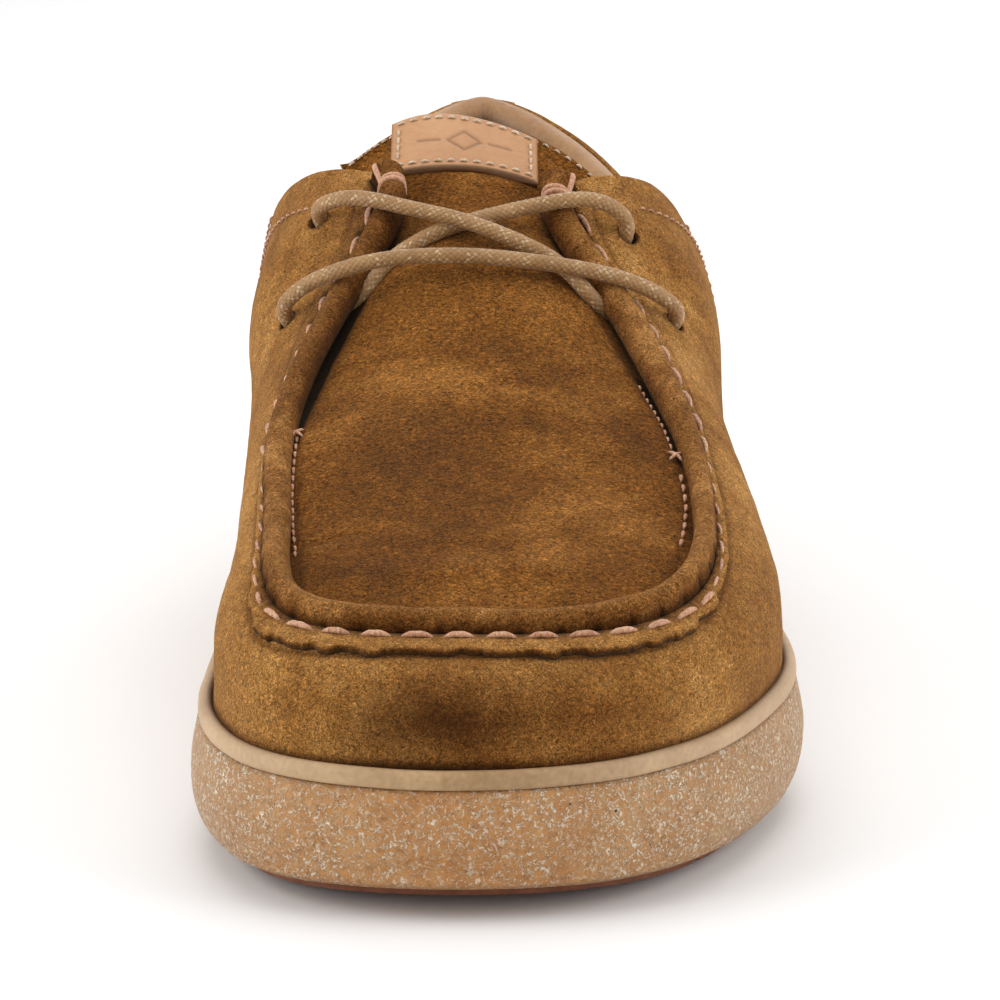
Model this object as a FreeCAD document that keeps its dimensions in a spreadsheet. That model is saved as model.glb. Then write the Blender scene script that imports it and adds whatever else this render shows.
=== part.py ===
import FreeCAD, Part
import math
import os
from FreeCAD import Placement, Rotation, Vector

# A laced low shoe in the moccasin style, left foot, about EU 42.5.
# Frame: +Z up, toe towards -Y, heel towards +Y, +X the outer (lateral) side.
# The origin is on the ground, under the middle of the shoe.
# Places along the shoe are given as "back", the distance behind the tip of the toe.

doc = FreeCAD.newDocument("moccasin")

# ---------------------------------------------------------------- driving sizes
SIZES = (
    ("sole_length", 302.0, "overall length of the shoe"),
    ("wall_offset", 3.8, "how far the rubber wall stands out from the upper"),
    ("rim_front", 27.0, "height of the sole's rim at the toe and ball"),
    ("rim_rise", 6.0, "how much higher the rim is at the heel"),
    ("toe_spring", 4.0, "lift of the sole under the toe"),
    ("heel_spring", 1.5, "lift of the sole under the back of the heel"),
    ("tread_thickness", 2.2, "brown tread plates under the sole"),
    ("rim_band", 2.7, "height of the smooth band along the rim"),
    ("cup_floor", 8.0, "inside floor of the rubber cup above the ground"),
    ("midsole_top", 17.0, "top of the foam midsole at the ball"),
    ("midsole_wedge", 7.0, "extra foam under the heel"),
    ("board_thickness", 2.0, "insole board"),
    ("footbed_thickness", 4.4, "removable footbed"),
    ("suede", 1.8, "outer suede"),
    ("lining", 0.9, "lining leather"),
    ("layer_gap", 0.15, "glue line between two layers"),
    ("counter", 1.0, "stiffener around the heel"),
    ("padding", 3.6, "foam in the heel collar"),
    ("cover", 0.9, "smooth leather over the collar"),
    ("ridge_half_width", 3.0, "rolled seam around the apron, half its width"),
    ("ridge_height", 3.6, "rolled seam, its height above the upper"),
    ("flange_width", 3.6, "raw edge outside the hand stitches"),
    ("flange_thickness", 1.6, "thickness of that raw edge"),
    ("stitch_length", 4.8, "one visible hand stitch"),
    ("stitch_pitch", 7.0, "from one hand stitch to the next"),
    ("thread", 1.2, "diameter of the hand-sewing thread"),
    ("lace", 3.0, "diameter of the round lace"),
    ("eyelet", 4.2, "punched lace hole"),
    ("aglet_length", 16.0, "tip of the lace"),
    ("aglet", 2.6, "diameter of the tip"),
    ("label_width", 29.0, "leather patch on the tongue"),
    ("label_height", 15.0, "leather patch on the tongue"),
    ("label_thickness", 1.2, "leather patch on the tongue"),
    ("shank_length", 100.0, "steel shank under the arch"),
    ("shank_width", 14.0, "steel shank under the arch"),
    ("shank_thickness", 1.4, "steel shank under the arch"),
    ("tongue_joint_back", 161.0, "where the free tongue starts"),
    ("fit_gap", 0.5, "free space between moving pieces"),
)
sheet = doc.addObject("Spreadsheet::Sheet", "sizes")
for row, (alias, value, note) in enumerate(SIZES, start=1):
    sheet.set("A%d" % row, alias)
    sheet.set("B%d" % row, str(value))
    sheet.set("C%d" % row, note)
    sheet.setAlias("B%d" % row, alias)
doc.recompute()


def size(alias):
    """Read one driving size from the sheet."""
    return float(sheet.get(alias))


LENGTH = size("sole_length")

# ---------------------------------------------------------------- curves


def solve(matrix, right):
    """Gauss elimination with pivoting; right holds one row of values per equation."""
    count = len(matrix)
    for i in range(count):
        pivot = max(range(i, count), key=lambda r: abs(matrix[r][i]))
        matrix[i], matrix[pivot] = matrix[pivot], matrix[i]
        right[i], right[pivot] = right[pivot], right[i]
        for r in range(i + 1, count):
            factor = matrix[r][i] / matrix[i][i]
            if factor == 0.0:
                continue
            matrix[r] = [a - factor * b for a, b in zip(matrix[r], matrix[i])]
            right[r] = [a - factor * b for a, b in zip(right[r], right[i])]
    answer = [None] * count
    for i in reversed(range(count)):
        row = list(right[i])
        for k in range(i + 1, count):
            row = [a - matrix[i][k] * b for a, b in zip(row, answer[k])]
        answer[i] = [a / matrix[i][i] for a in row]
    return answer


class Curve:
    """Smooth cubic curve through points, one knot each; a closed one returns to its start."""

    def __init__(self, knots, points, closed=False):
        self.knots = list(knots)
        self.points = [list(p) for p in points]
        self.closed = closed
        if closed:
            self.points.append(list(points[0]))
        spans = len(self.knots) - 1
        steps = [self.knots[i + 1] - self.knots[i] for i in range(spans)]
        size_of_system = spans if closed else spans + 1
        dims = len(self.points[0])
        matrix = [[0.0] * size_of_system for _ in range(size_of_system)]
        right = [[0.0] * dims for _ in range(size_of_system)]
        for i in range(size_of_system):
            if not closed and i in (0, spans):
                matrix[i][i] = 1.0
                continue
            before = steps[(i - 1) % spans]
            after = steps[i]
            matrix[i][(i - 1) % size_of_system] += before
            matrix[i][i] += 2.0 * (before + after)
            matrix[i][(i + 1) % size_of_system] += after
            last = self.points[i - 1] if i else self.points[spans - 1]
            for c in range(dims):
                rise = (self.points[i + 1][c] - self.points[i][c]) / after
                rise -= (self.points[i][c] - last[c]) / before
                right[i][c] = 6.0 * rise
        self.bends = solve(matrix, right)
        if closed:
            self.bends.append(self.bends[0])

    def __call__(self, t):
        first, last = self.knots[0], self.knots[-1]
        if self.closed:
            t = (t - first) % (last - first) + first
        i = 0
        while i < len(self.knots) - 2 and t > self.knots[i + 1]:
            i += 1
        step = self.knots[i + 1] - self.knots[i]
        a = self.knots[i + 1] - t
        b = t - self.knots[i]
        place = []
        for c in range(len(self.points[0])):
            m0, m1 = self.bends[i][c], self.bends[i + 1][c]
            p0, p1 = self.points[i][c], self.points[i + 1][c]
            value = (m0 * a ** 3 + m1 * b ** 3) / (6.0 * step)
            value += (p0 / step - m0 * step / 6.0) * a + (p1 / step - m1 * step / 6.0) * b
            place.append(value)
        return place


def smooth(t):
    """Ease from 0 to 1."""
    t = max(0.0, min(1.0, t))
    return t * t * (3.0 - 2.0 * t)


def at(x, back, z):
    """A point of the part's frame from its distance behind the toe tip."""
    return Vector(x, back - LENGTH / 2.0, z)


# ---------------------------------------------------------------- heights along the sole
ARCH_START = 110.0
HEEL_START = 240.0
TOE_SPRING_END = 62.0
HEEL_SPRING_START = 262.0


def heel_rise(back):
    return smooth((back - ARCH_START) / (HEEL_START - ARCH_START))


def ground(back):
    """Underside of the tread."""
    toe = max(0.0, (TOE_SPRING_END - back) / TOE_SPRING_END) ** 1.7
    heel = max(0.0, (back - HEEL_SPRING_START) / (LENGTH - HEEL_SPRING_START)) ** 2
    return size("toe_spring") * toe + size("heel_spring") * heel


def rim_top(back):
    return size("rim_front") + size("rim_rise") * heel_rise(back)


def cup_floor(back):
    return size("cup_floor") + 0.8 * ground(back)


def midsole_top(back):
    return size("midsole_top") + size("midsole_wedge") * heel_rise(back) + 0.4 * ground(back)


# ---------------------------------------------------------------- the last: stations round the shoe
# Each row is one rib of the upper, going round from the toe by the inner side, the heel
# and the outer side: foot of the rib (x, back), head of the rib (x, back, z), and how far
# the leather bulges out low and high on the rib.
RIBS = (
    (-5.0, 5.7, -4.0, 24.0, 46.0, 6.0, 5.5),
    (-25.0, 8.2, -19.0, 25.2, 45.8, 6.0, 5.5),
    (-41.5, 18.5, -34.0, 30.5, 46.6, 5.0, 5.2),
    (-50.6, 39.0, -41.2, 44.0, 49.6, 3.5, 4.8),
    (-51.9, 72.0, -43.0, 72.0, 55.3, 1.5, 3.2),
    (-50.0, 100.0, -41.0, 101.0, 63.8, 2.0, 4.5),
    (-45.5, 128.0, -34.3, 129.0, 75.0, 7.0, 9.0),
    (-41.0, 150.0, -28.0, 149.0, 85.3, 12.0, 13.5),
    (-38.5, 162.0, -22.2, 168.0, 98.0, 16.0, 16.5),
    (-36.8, 175.0, -31.1, 180.0, 99.9, 14.5, 13.5),
    (-35.6, 188.0, -40.5, 190.0, 95.8, 11.5, 9.0),
    (-34.8, 206.0, -47.0, 206.0, 84.0, 8.0, 5.5),
    (-34.5, 229.0, -45.0, 228.0, 75.5, 6.5, 4.5),
    (-33.3, 256.0, -34.0, 256.0, 83.0, 5.5, 4.0),
    (-26.5, 280.0, -21.5, 279.0, 90.5, 5.5, 5.0),
    (-3.0, 296.5, -3.8, 292.0, 95.0, 3.5, 4.0),
    (20.5, 280.0, 14.5, 279.0, 90.5, 5.5, 5.0),
    (27.8, 256.0, 26.8, 256.0, 83.5, 5.5, 4.0),
    (30.8, 229.0, 37.0, 228.0, 75.5, 6.0, 4.5),
    (34.5, 206.0, 38.3, 206.0, 82.5, 7.0, 5.5),
    (37.7, 188.0, 32.4, 190.0, 93.7, 8.5, 7.5),
    (40.0, 175.0, 24.1, 180.0, 98.5, 10.5, 10.5),
    (42.0, 162.0, 11.9, 169.0, 97.0, 13.5, 15.5),
    (44.3, 150.0, 19.5, 149.0, 83.5, 9.5, 12.0),
    (47.5, 128.0, 27.3, 129.0, 74.6, 6.0, 8.5),
    (50.8, 104.0, 34.6, 102.0, 64.3, 4.8, 6.5),
    (52.6, 78.0, 37.6, 74.0, 55.8, 5.0, 6.0),
    (46.5, 50.0, 34.8, 45.0, 49.7, 5.0, 5.8),
    (35.0, 26.5, 26.0, 31.5, 46.9, 5.3, 5.4),
    (16.0, 10.2, 11.0, 25.4, 45.8, 6.0, 5.5),
)
FOOT_DEPTH = 2.5   # the ribs start this far below the rim, inside the rubber cup
LOW_PART = 1.0 / 3.0
HIGH_PART = 0.76


def rib_lines():
    """The four long lines that the upper is stretched over, and their common knots."""
    feet = [Vector(r[0], r[1], rim_top(r[1]) - FOOT_DEPTH) for r in RIBS]
    heads = [Vector(r[2], r[3], r[4]) for r in RIBS]
    count = len(RIBS)
    lows = []
    highs = []
    knots = [0.0]
    for i in range(count):
        after = (i + 1) % count
        along_foot = (feet[after] - feet[i - 1]).normalize()
        along_head = (heads[after] - heads[i - 1]).normalize()
        along = along_foot + along_head
        along.z = 0.0
        rib = heads[i] - feet[i]
        out = rib.cross(along).normalize()
        lows.append(feet[i] + rib * LOW_PART + out * RIBS[i][5])
        highs.append(feet[i] + rib * HIGH_PART + out * RIBS[i][6])
        foot_step = math.hypot(feet[after].x - feet[i].x, feet[after].y - feet[i].y)
        head_step = (heads[after] - heads[i]).Length
        knots.append(knots[-1] + 0.5 * (foot_step + head_step))
    return [Curve(knots, [tuple(p) for p in line], closed=True) for line in (feet, lows, highs, heads)], knots


LINES, KNOTS = rib_lines()
ROUND = KNOTS[-1]
HEEL_RIB = 15


def knot(rib):
    """Distance round the shoe at a rib; parts of a rib step lie between."""
    whole = int(math.floor(rib))
    return KNOTS[whole] + (rib - whole) * (KNOTS[whole + 1] - KNOTS[whole])


def wall_skin(u, v):
    """Outer face of the upper: u round the shoe, v from the rim (0) to the top edge (1)."""
    nodes = (0.0, LOW_PART, HIGH_PART, 1.0)
    weights = []
    for i, node in enumerate(nodes):
        weight = 1.0
        for k, other in enumerate(nodes):
            if k != i:
                weight *= (v - other) / (node - other)
        weights.append(weight)
    corners = [line(u) for line in LINES]
    x, back, z = [sum(w * p[c] for w, p in zip(weights, corners)) for c in range(3)]
    return at(x, back, z)


def wall(u, v, depth=0.0):
    """A point of the upper at a depth under its outer face."""
    point = wall_skin(u, v)
    if depth == 0.0:
        return point
    along = wall_skin(u + 0.3, v) - wall_skin(u - 0.3, v)
    up = wall_skin(u, v + 0.004) - wall_skin(u, v - 0.004)
    return point - up.cross(along).normalize() * depth


def rib_length(u):
    """Length of leather from the rim to the top edge."""
    steps = 16
    points = [wall_skin(u, j / steps) for j in range(steps + 1)]
    return sum((points[j + 1] - points[j]).Length for j in range(steps))


def from_edge(u, down, depth=0.0):
    """A point of the upper, given in millimetres down from its top edge."""
    return wall(u, 1.0 - down / rib_length(u), depth)


# ---------------------------------------------------------------- the apron and the tongue
# Cross-sections from the toe to the tip of the tongue: knot, left edge, middle, right edge
# (x, back, z each) and the power of the crown.
CROSS = (
    (24.4, (-19.0, 25.6, 46.2), (-4.0, 24.6, 46.4), (11.0, 25.6, 46.2), 2.0),
    (31.0, (-33.0, 31.0, 46.8), (-4.0, 31.0, 48.4), (25.5, 32.0, 46.8), 2.0),
    (44.5, (-40.3, 44.5, 49.8), (-4.0, 44.5, 52.8), (34.0, 45.5, 49.8), 2.0),
    (72.0, (-42.0, 72.0, 55.5), (-4.0, 72.0, 60.0), (36.8, 74.0, 56.0), 2.0),
    (100.0, (-40.3, 100.0, 64.0), (-4.0, 100.0, 69.0), (34.0, 101.0, 64.4), 2.0),
    (128.0, (-36.0, 128.0, 70.0), (-4.3, 128.0, 79.8), (28.5, 128.0, 70.0), 2.2),
    (148.0, (-31.0, 148.0, 79.0), (-4.8, 148.0, 89.5), (22.0, 148.0, 78.0), 2.3),
    (163.0, (-29.0, 163.0, 86.0), (-6.0, 163.0, 95.2), (19.0, 163.0, 84.0), 2.2),
    (174.0, (-31.0, 176.0, 94.5), (-7.6, 174.0, 100.0), (20.0, 174.0, 90.0), 2.0),
    (191.0, (-31.0, 181.0, 100.5), (-10.0, 191.0, 108.8), (20.0, 184.0, 98.5), 2.0),
)
CROSS_KNOTS = [row[0] for row in CROSS]
LEFT_EDGE = Curve(CROSS_KNOTS, [row[1] for row in CROSS])
MIDDLE = Curve(CROSS_KNOTS, [row[2] for row in CROSS])
RIGHT_EDGE = Curve(CROSS_KNOTS, [row[3] for row in CROSS])
CROWN = Curve(CROSS_KNOTS, [(row[4],) for row in CROSS])


def apron_skin(t, w):
    """Outer face of the apron: t along the shoe, w across it from -1 to 1."""
    middle = MIDDLE(t)
    edge = LEFT_EDGE(t) if w < 0.0 else RIGHT_EDGE(t)
    across = abs(w)
    x = middle[0] + (edge[0] - middle[0]) * across
    back = middle[1] + (edge[1] - middle[1]) * across ** 2
    z = middle[2] + (edge[2] - middle[2]) * across ** CROWN(t)[0]
    return at(x, back, z)


def apron(t, w, depth=0.0):
    """A point of the apron at a depth under its outer face."""
    along = apron_skin(t + 0.4, w) - apron_skin(t - 0.4, w)
    across = apron_skin(t, w + 0.02) - apron_skin(t, w - 0.02)
    return apron_skin(t, w) - across.cross(along).normalize() * depth


# ---------------------------------------------------------------- solids from point grids


def steps_between(first, last, count):
    return [first + (last - first) * i / (count - 1) for i in range(count)]


def sheet_solid(outer, inner):
    """A closed solid between two grids of points with the same rows and columns."""
    skins = []
    for grid in (outer, inner):
        surface = Part.BSplineSurface()
        surface.interpolate(grid)
        skins.append(surface)
    faces = [skin.toShape() for skin in skins]
    u0, u1, v0, v1 = skins[0].bounds()
    s0, s1, r0, r1 = skins[1].bounds()
    pairs = (
        (skins[0].uIso(u0), skins[1].uIso(s0)),
        (skins[0].uIso(u1), skins[1].uIso(s1)),
        (skins[0].vIso(v0), skins[1].vIso(r0)),
        (skins[0].vIso(v1), skins[1].vIso(r1)),
    )
    for first, second in pairs:
        rims = [Part.Wire(first.toShape()), Part.Wire(second.toShape())]
        faces.extend(Part.makeLoft(rims, False, True).Faces)
    shell = Part.makeShell(faces)
    shell.sewShape()
    solid = Part.makeSolid(Part.Shell(shell.Faces))
    if solid.Volume < 0.0:
        solid.reverse()
    return solid


def band(u0, u1, outer, inner, rows):
    """A strip of the upper from u0 to u1; outer and inner list (v, depth) across it."""
    places = steps_between(u0, u1, rows)
    return sheet_solid(
        [[wall(u, v, depth) for v, depth in outer] for u in places],
        [[wall(u, v, depth) for v, depth in inner] for u in places],
    )


def layer(u0, u1, v0, v1, depth0, depth1, rows, columns=9):
    """A plain layer of leather between two depths."""
    heights = steps_between(v0, v1, columns)
    return band(u0, u1, [(v, depth0) for v in heights], [(v, depth1) for v in heights], rows)


def apron_layer(t0, t1, width, depth0, depth1, rows, columns=13):
    """A layer of the apron between two depths."""
    across = steps_between(-width, width, columns)
    places = steps_between(t0, t1, rows)
    return sheet_solid(
        [[apron(t, w, depth0) for w in across] for t in places],
        [[apron(t, w, depth1) for w in across] for t in places],
    )


# ---------------------------------------------------------------- solids of the sole


def outline_point(u, out, z):
    """A point beside the foot line of the upper, out millimetres outside it."""
    before = LINES[0](u - 0.5)
    after = LINES[0](u + 0.5)
    along = Vector(after[0] - before[0], after[1] - before[1], 0.0).normalize()
    x, back, _ = LINES[0](u)
    beside = at(x, back, z) + Vector(-along.y, along.x, 0.0) * out
    return beside


def outline_wire(out, z, rounds=56):
    """Closed outline at one height; out is a number or a function of the place."""
    points = []
    for i in range(rounds):
        u = ROUND * i / rounds
        offset = out(outline_point(u, 0.0, z)) if callable(out) else out
        points.append(outline_point(u, offset, z))
    curve = Part.BSplineCurve()
    curve.interpolate(points, PeriodicFlag=True)
    return Part.Wire(curve.toShape())


def prism(out, low, high):
    """Upright solid over an outline."""
    return Part.Face(outline_wire(out, low)).extrude(Vector(0.0, 0.0, high - low))


SLAB_HALF = 80.0
SLAB_END = 12.0
SLAB_STEPS = 15


def slab(low, high, start=-SLAB_END, end=None):
    """Everything between two height lines drawn along the shoe."""
    finish = LENGTH + SLAB_END if end is None else end
    places = steps_between(start, finish, SLAB_STEPS)
    edges = []
    for line in (low, high):
        curve = Part.BSplineCurve()
        inside = [min(max(p, 0.0), LENGTH) for p in places]
        curve.interpolate([at(-SLAB_HALF, p, line(q)) for p, q in zip(places, inside)])
        edges.append(curve.toShape())
    for i in (0, -1):
        q = min(max(places[i], 0.0), LENGTH)
        edges.append(Part.makeLine(at(-SLAB_HALF, places[i], low(q)), at(-SLAB_HALF, places[i], high(q))))
    face = Part.Face(Part.Wire(Part.__sortEdges__(edges)))
    return face.extrude(Vector(2.0 * SLAB_HALF, 0.0, 0.0))


def shifted(line, step):
    """The same height line, step millimetres higher."""
    return lambda back: line(back) + step


# ---------------------------------------------------------------- document objects
PIECES = []


def piece(label, shape):
    """A sub-part whose free-form shape is set here, from sizes in the sheet."""
    item = doc.addObject("Part::Feature", label)
    item.Label = label
    item.Shape = shape
    item.Placement = Placement()
    PIECES.append(item)
    return item


def helper(name, shape):
    """A working solid that a boolean of the document uses."""
    item = doc.addObject("Part::Feature", name)
    item.Shape = shape
    return item


def common(label, base, tool):
    """A sub-part that is what two working solids share."""
    item = doc.addObject("Part::Common", label)
    item.Label = label
    item.Base = base
    item.Tool = tool
    PIECES.append(item)
    return item


def cut(label, base, tool, kept=True):
    """A sub-part that is one working solid less another."""
    item = doc.addObject("Part::Cut", label)
    item.Label = label
    item.Base = base
    item.Tool = tool
    if kept:
        PIECES.append(item)
    return item


# ---------------------------------------------------------------- sole
# Rubber wall: part of the height, and how far it stands out from the foot line.
WALL_PROFILE = Curve(
    (0.0, 0.08, 0.2, 0.42, 0.65, 0.88, 1.0),
    ((-4.2,), (-1.2,), (1.5,), (3.4,), (3.7,), (2.8,), (2.3,)),
)
WALL_WIDEST = 3.7
TOE_FILL_BACK = 30.0
TOE_FILL = 5.0


def make_sole():
    """Rubber cup, its rim band and the two tread plates."""
    tread = size("tread_thickness")
    band_height = size("rim_band")
    full = size("wall_offset")

    def wall_out(point):
        back = point.y + LENGTH / 2.0
        low = ground(back)
        part = (point.z - low) / (rim_top(back) - band_height - low)
        part = min(max(part, 0.0), 1.0)
        toe = max(0.0, 1.0 - back / TOE_FILL_BACK) * max(0.0, 1.0 - part / 0.3)
        return WALL_PROFILE(part)[0] * full / WALL_WIDEST + TOE_FILL * toe

    levels = (0.0, 2.0, 4.5, 8.0, 13.0, 18.0, 23.0, 27.0, 31.0, 34.0)
    body = Part.makeLoft([outline_wire(wall_out, z) for z in levels], True, False)
    sole_bottom = shifted(ground, tread)
    sole_top = shifted(rim_top, -band_height - 0.05)
    body = body.common(slab(sole_bottom, sole_top))
    inside = prism(0.2, 0.0, 50.0).common(slab(cup_floor, shifted(rim_top, 12.0)))
    cut("outsole", helper("sole_blank", body), helper("cup_space", inside))

    ring = prism(2.1, 0.0, 50.0).cut(prism(0.2, -1.0, 51.0))
    rim = ring.common(slab(shifted(rim_top, -band_height), rim_top))
    for stretch in upper_foot():
        rim = rim.cut(stretch)
    piece("sole_rim", rim)

    above_ground = Part.makeBox(2.0 * SLAB_HALF, 2.0 * LENGTH, 60.0, Vector(-SLAB_HALF, -LENGTH, 0.0))
    plates = (("tread_forefoot", -4.0, 132.0), ("tread_heel", 192.0, LENGTH + 4.0))
    for label, start, end in plates:
        plate = body_section(start, end, -4.5, shifted(ground, -0.12), shifted(ground, tread - 0.02))
        plate = plate.common(above_ground)
        grooves = []
        place = start + 16.0
        while place < end - 8.0:
            groove = Part.makeBox(2.0 * SLAB_HALF, 2.4, 1.6)
            groove.translate(at(-SLAB_HALF, place, -0.2))
            grooves.append(groove)
            place += 11.0
        cut(label, helper(label + "_plate", plate), helper(label + "_grooves", Part.makeCompound(grooves)))


def upper_foot():
    """The lowest part of the upper's leather, in three stretches that overlap a little."""
    third = ROUND / 3.0
    return [layer(i * third - 1.0, (i + 1) * third + 1.0, 0.0, 0.15, -0.05, size("suede"), rows=31, columns=4)
            for i in range(3)]


def body_section(start, end, out, low, high):
    """Part of a sole layer between two cross cuts."""
    block = Part.makeBox(2.0 * SLAB_HALF, end - start, 60.0)
    block.translate(at(-SLAB_HALF, start, -5.0))
    return prism(out, -5.0, 50.0).common(slab(low, high)).common(block)


def make_inner_sole():
    """Foam midsole with the steel shank in it, rand, insole board and footbed."""
    gap = size("layer_gap")
    board = size("board_thickness")
    foam = prism(-0.2, 0.0, 50.0).common(slab(shifted(cup_floor, gap), midsole_top))

    shank_middle = at(-2.0, 200.0, 18.4)
    tilt = 4.0
    shank = doc.addObject("PartDesign::Body", "shank")
    shank.Label = "shank"
    sketch = shank.newObject("Sketcher::SketchObject", "shank_outline")
    plane = [f for f in shank.Origin.OriginFeatures if f.Role == "XY_Plane"][0]
    sketch.AttachmentSupport = (plane, [""])
    sketch.MapMode = "FlatFace"
    half_w = size("shank_width") / 2.0
    half_l = size("shank_length") / 2.0
    corners = (Vector(-half_w, -half_l, 0), Vector(half_w, -half_l, 0),
               Vector(half_w, half_l, 0), Vector(-half_w, half_l, 0))
    for i in range(4):
        sketch.addGeometry(Part.LineSegment(corners[i], corners[(i + 1) % 4]), False)
    pad = shank.newObject("PartDesign::Pad", "shank_plate")
    pad.Profile = sketch
    pad.setExpression("Length", "sizes.shank_thickness")
    shank.Placement = Placement(shank_middle, Rotation(Vector(1, 0, 0), tilt))
    PIECES.append(shank)

    pocket = Part.makeBox(2 * half_w + 0.4, 2 * half_l + 0.4, size("shank_thickness") + 0.4,
                          Vector(-half_w - 0.2, -half_l - 0.2, -0.2))
    pocket.Placement = shank.Placement
    cut("midsole", helper("foam_blank", foam), helper("shank_pocket", pocket))

    rand_ring = prism(-0.3, 0.0, 50.0).cut(prism(-4.6, -1.0, 51.0))
    common("rand", helper("rand_ring", rand_ring),
           helper("rand_slab", slab(shifted(midsole_top, gap), shifted(rim_top, -FOOT_DEPTH - 0.9))))

    board_low = shifted(midsole_top, gap)
    board_high = shifted(board_low, board)
    common("insole_board", helper("board_prism", prism(-4.9, 0.0, 50.0)),
           helper("board_slab", slab(board_low, board_high)))
    bed_low = shifted(board_high, gap)
    bed_high = shifted(bed_low, size("footbed_thickness"))
    common("footbed", helper("bed_prism", prism(-6.0, 0.0, 60.0)),
           helper("bed_slab", slab(bed_low, bed_high)))


# ---------------------------------------------------------------- upper
SIDE_SEAM_INNER = 11.0
SIDE_SEAM_OUTER = 19.0
# Lace holes: distance round the shoe, and down from the rolled seam.
HOLES = {
    "inner_upper": (188.0, 12.0),
    "inner_lower": (164.0, 12.2),
    "outer_upper": (492.7, 11.2),
    "outer_lower": (509.0, 13.0),
}


def hole_axis(name):
    """A lace hole's place on the outer face, and the direction out of the leather."""
    u, down = HOLES[name]
    place = from_edge(u, down)
    return place, (place - from_edge(u, down, 1.0)).normalize()


def punch(name):
    place, out = hole_axis(name)
    return Part.makeCylinder(size("eyelet") / 2.0, 12.0, place - out * 6.0, out)


def make_upper():
    """Suede wrap and quarters, linings, heel parts and collar."""
    suede = size("suede")
    gap = size("layer_gap")
    lining_in = suede + gap
    lining_out = lining_in + size("lining")
    inner = knot(SIDE_SEAM_INNER)
    outer = knot(SIDE_SEAM_OUTER)
    heel = knot(HEEL_RIB)
    seam_gap = 0.4

    punches = Part.makeCompound([punch(name) for name in HOLES])
    wrap = layer(outer - ROUND, inner, 0.0, 1.0, 0.0, suede, rows=61)
    cut("vamp", helper("vamp_blank", wrap), helper("vamp_punches", punches))
    wrap_lining = layer(outer - ROUND, inner, 0.03, 0.985, lining_in, lining_out, rows=61)
    cut("vamp_lining", helper("lining_blank", wrap_lining), helper("lining_punches", punches))

    piece("quarter_medial", layer(inner + seam_gap, heel - 0.15, 0.0, 1.0, 0.0, suede, rows=23))
    piece("quarter_lateral", layer(heel + 0.15, outer - seam_gap, 0.0, 1.0, 0.0, suede, rows=23))
    strip = 9.0
    piece("backstay", layer(heel - strip, heel + strip, 0.08, 0.93, -1.3, -0.1, rows=7))

    counter_out = lining_in + size("counter")
    piece("heel_counter", layer(knot(12.4), knot(17.6), 0.03, 0.6, lining_in, counter_out, rows=25))
    second_in = counter_out + gap
    second_out = second_in + size("lining")
    piece("quarter_lining", layer(inner + seam_gap, outer - seam_gap, 0.02, 0.99,
                                  second_in, second_out, rows=45))

    foam_in = second_out + gap
    foam_out = foam_in + size("padding")
    foam = helper("foam_roll", layer(knot(12.0), knot(18.0), 0.7, 0.97, foam_in, foam_out, rows=29))
    cover_in = foam_out + gap
    cover_out = cover_in + size("cover")
    outer_path = ((1.0, lining_in), (1.03, foam_in), (1.035, 0.5 * (foam_in + foam_out)),
                  (1.0, cover_out), (0.9, cover_out), (0.8, cover_out), (0.68, cover_out))
    inner_path = ((0.995, lining_in + 0.8), (1.0, foam_in), (1.0, 0.5 * (foam_in + foam_out)),
                  (0.98, cover_in), (0.9, cover_in), (0.8, cover_in), (0.68, cover_in))
    piece("collar_cover", band(knot(11.8), knot(18.2), outer_path, inner_path, rows=31))
    cut("collar_padding", foam, doc.getObject("collar_cover"))


RIDGE_END_INNER = 8.15
RIDGE_END_OUTER = 21.9


def make_apron():
    """Apron, its lining, and the rolled hand-sewn seam round it."""
    suede = size("suede")
    lining_in = suede + size("layer_gap")
    apron_end = size("tongue_joint_back") - size("fit_gap")
    lace_bed = helper("lace_bed", tube("lace_bed", lace_points(), size("lace") + 0.3, size("lace")))
    cut("apron", helper("apron_blank", apron_layer(24.4, apron_end, 1.0, 0.0, suede, rows=33)), lace_bed)
    cut("apron_lining", helper("apron_lining_blank", apron_layer(
        33.0, apron_end - 1.0, 0.93, lining_in, lining_in + size("lining"), rows=29)), lace_bed)

    start = knot(RIDGE_END_OUTER) - ROUND
    end = knot(RIDGE_END_INNER)
    places = steps_between(start, end, 71)
    half = size("ridge_half_width")
    high = size("ridge_height")
    columns = 9
    roll = []
    base = []
    for u in places:
        head = from_edge(u, 0.0)
        beside = from_edge(u, 1.5)
        out = Vector(beside.x - head.x, beside.y - head.y, 0.0).normalize()
        roll_row = []
        base_row = []
        for i in range(columns):
            angle = math.pi * i / (columns - 1)
            side = half * math.cos(angle)
            roll_row.append(head + out * side + Vector(0, 0, 0.35 + high * math.sin(angle)))
            base_row.append(head + out * side + Vector(0, 0, 0.1 + 0.2 * math.sin(angle)))
        roll.append(roll_row)
        base.append(base_row)
    cut("ridge_on_apron", helper("ridge_blank", sheet_solid(roll, base)), doc.getObject("apron"), kept=False)
    cut("seam_ridge", doc.getObject("ridge_on_apron"), lace_bed)

    first = half + 0.3
    width = size("flange_width")
    thick = size("flange_thickness")
    downs = steps_between(first, first + width, 4)
    piece("seam_flange", sheet_solid(
        [[from_edge(u, d, -thick) for d in downs] for u in places],
        [[from_edge(u, d, -0.1) for d in downs] for u in places],
    ))

    stitches = []
    radius = size("thread") / 2.0
    long = size("stitch_length")
    place = start + 4.0
    while place < end - 4.0:
        middle = from_edge(place, first + 1.0, -thick - radius - 0.15)
        ahead = from_edge(place + 1.0, first + 1.0, -thick - radius - 0.15)
        along = (ahead - middle).normalize()
        stitches.append(Part.makeCylinder(radius, long, middle - along * (long / 2.0), along))
        place += size("stitch_pitch")
    piece("hand_stitches", Part.makeCompound(stitches))


# ---------------------------------------------------------------- tongue
TONGUE_TAPER = 0.14


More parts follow.
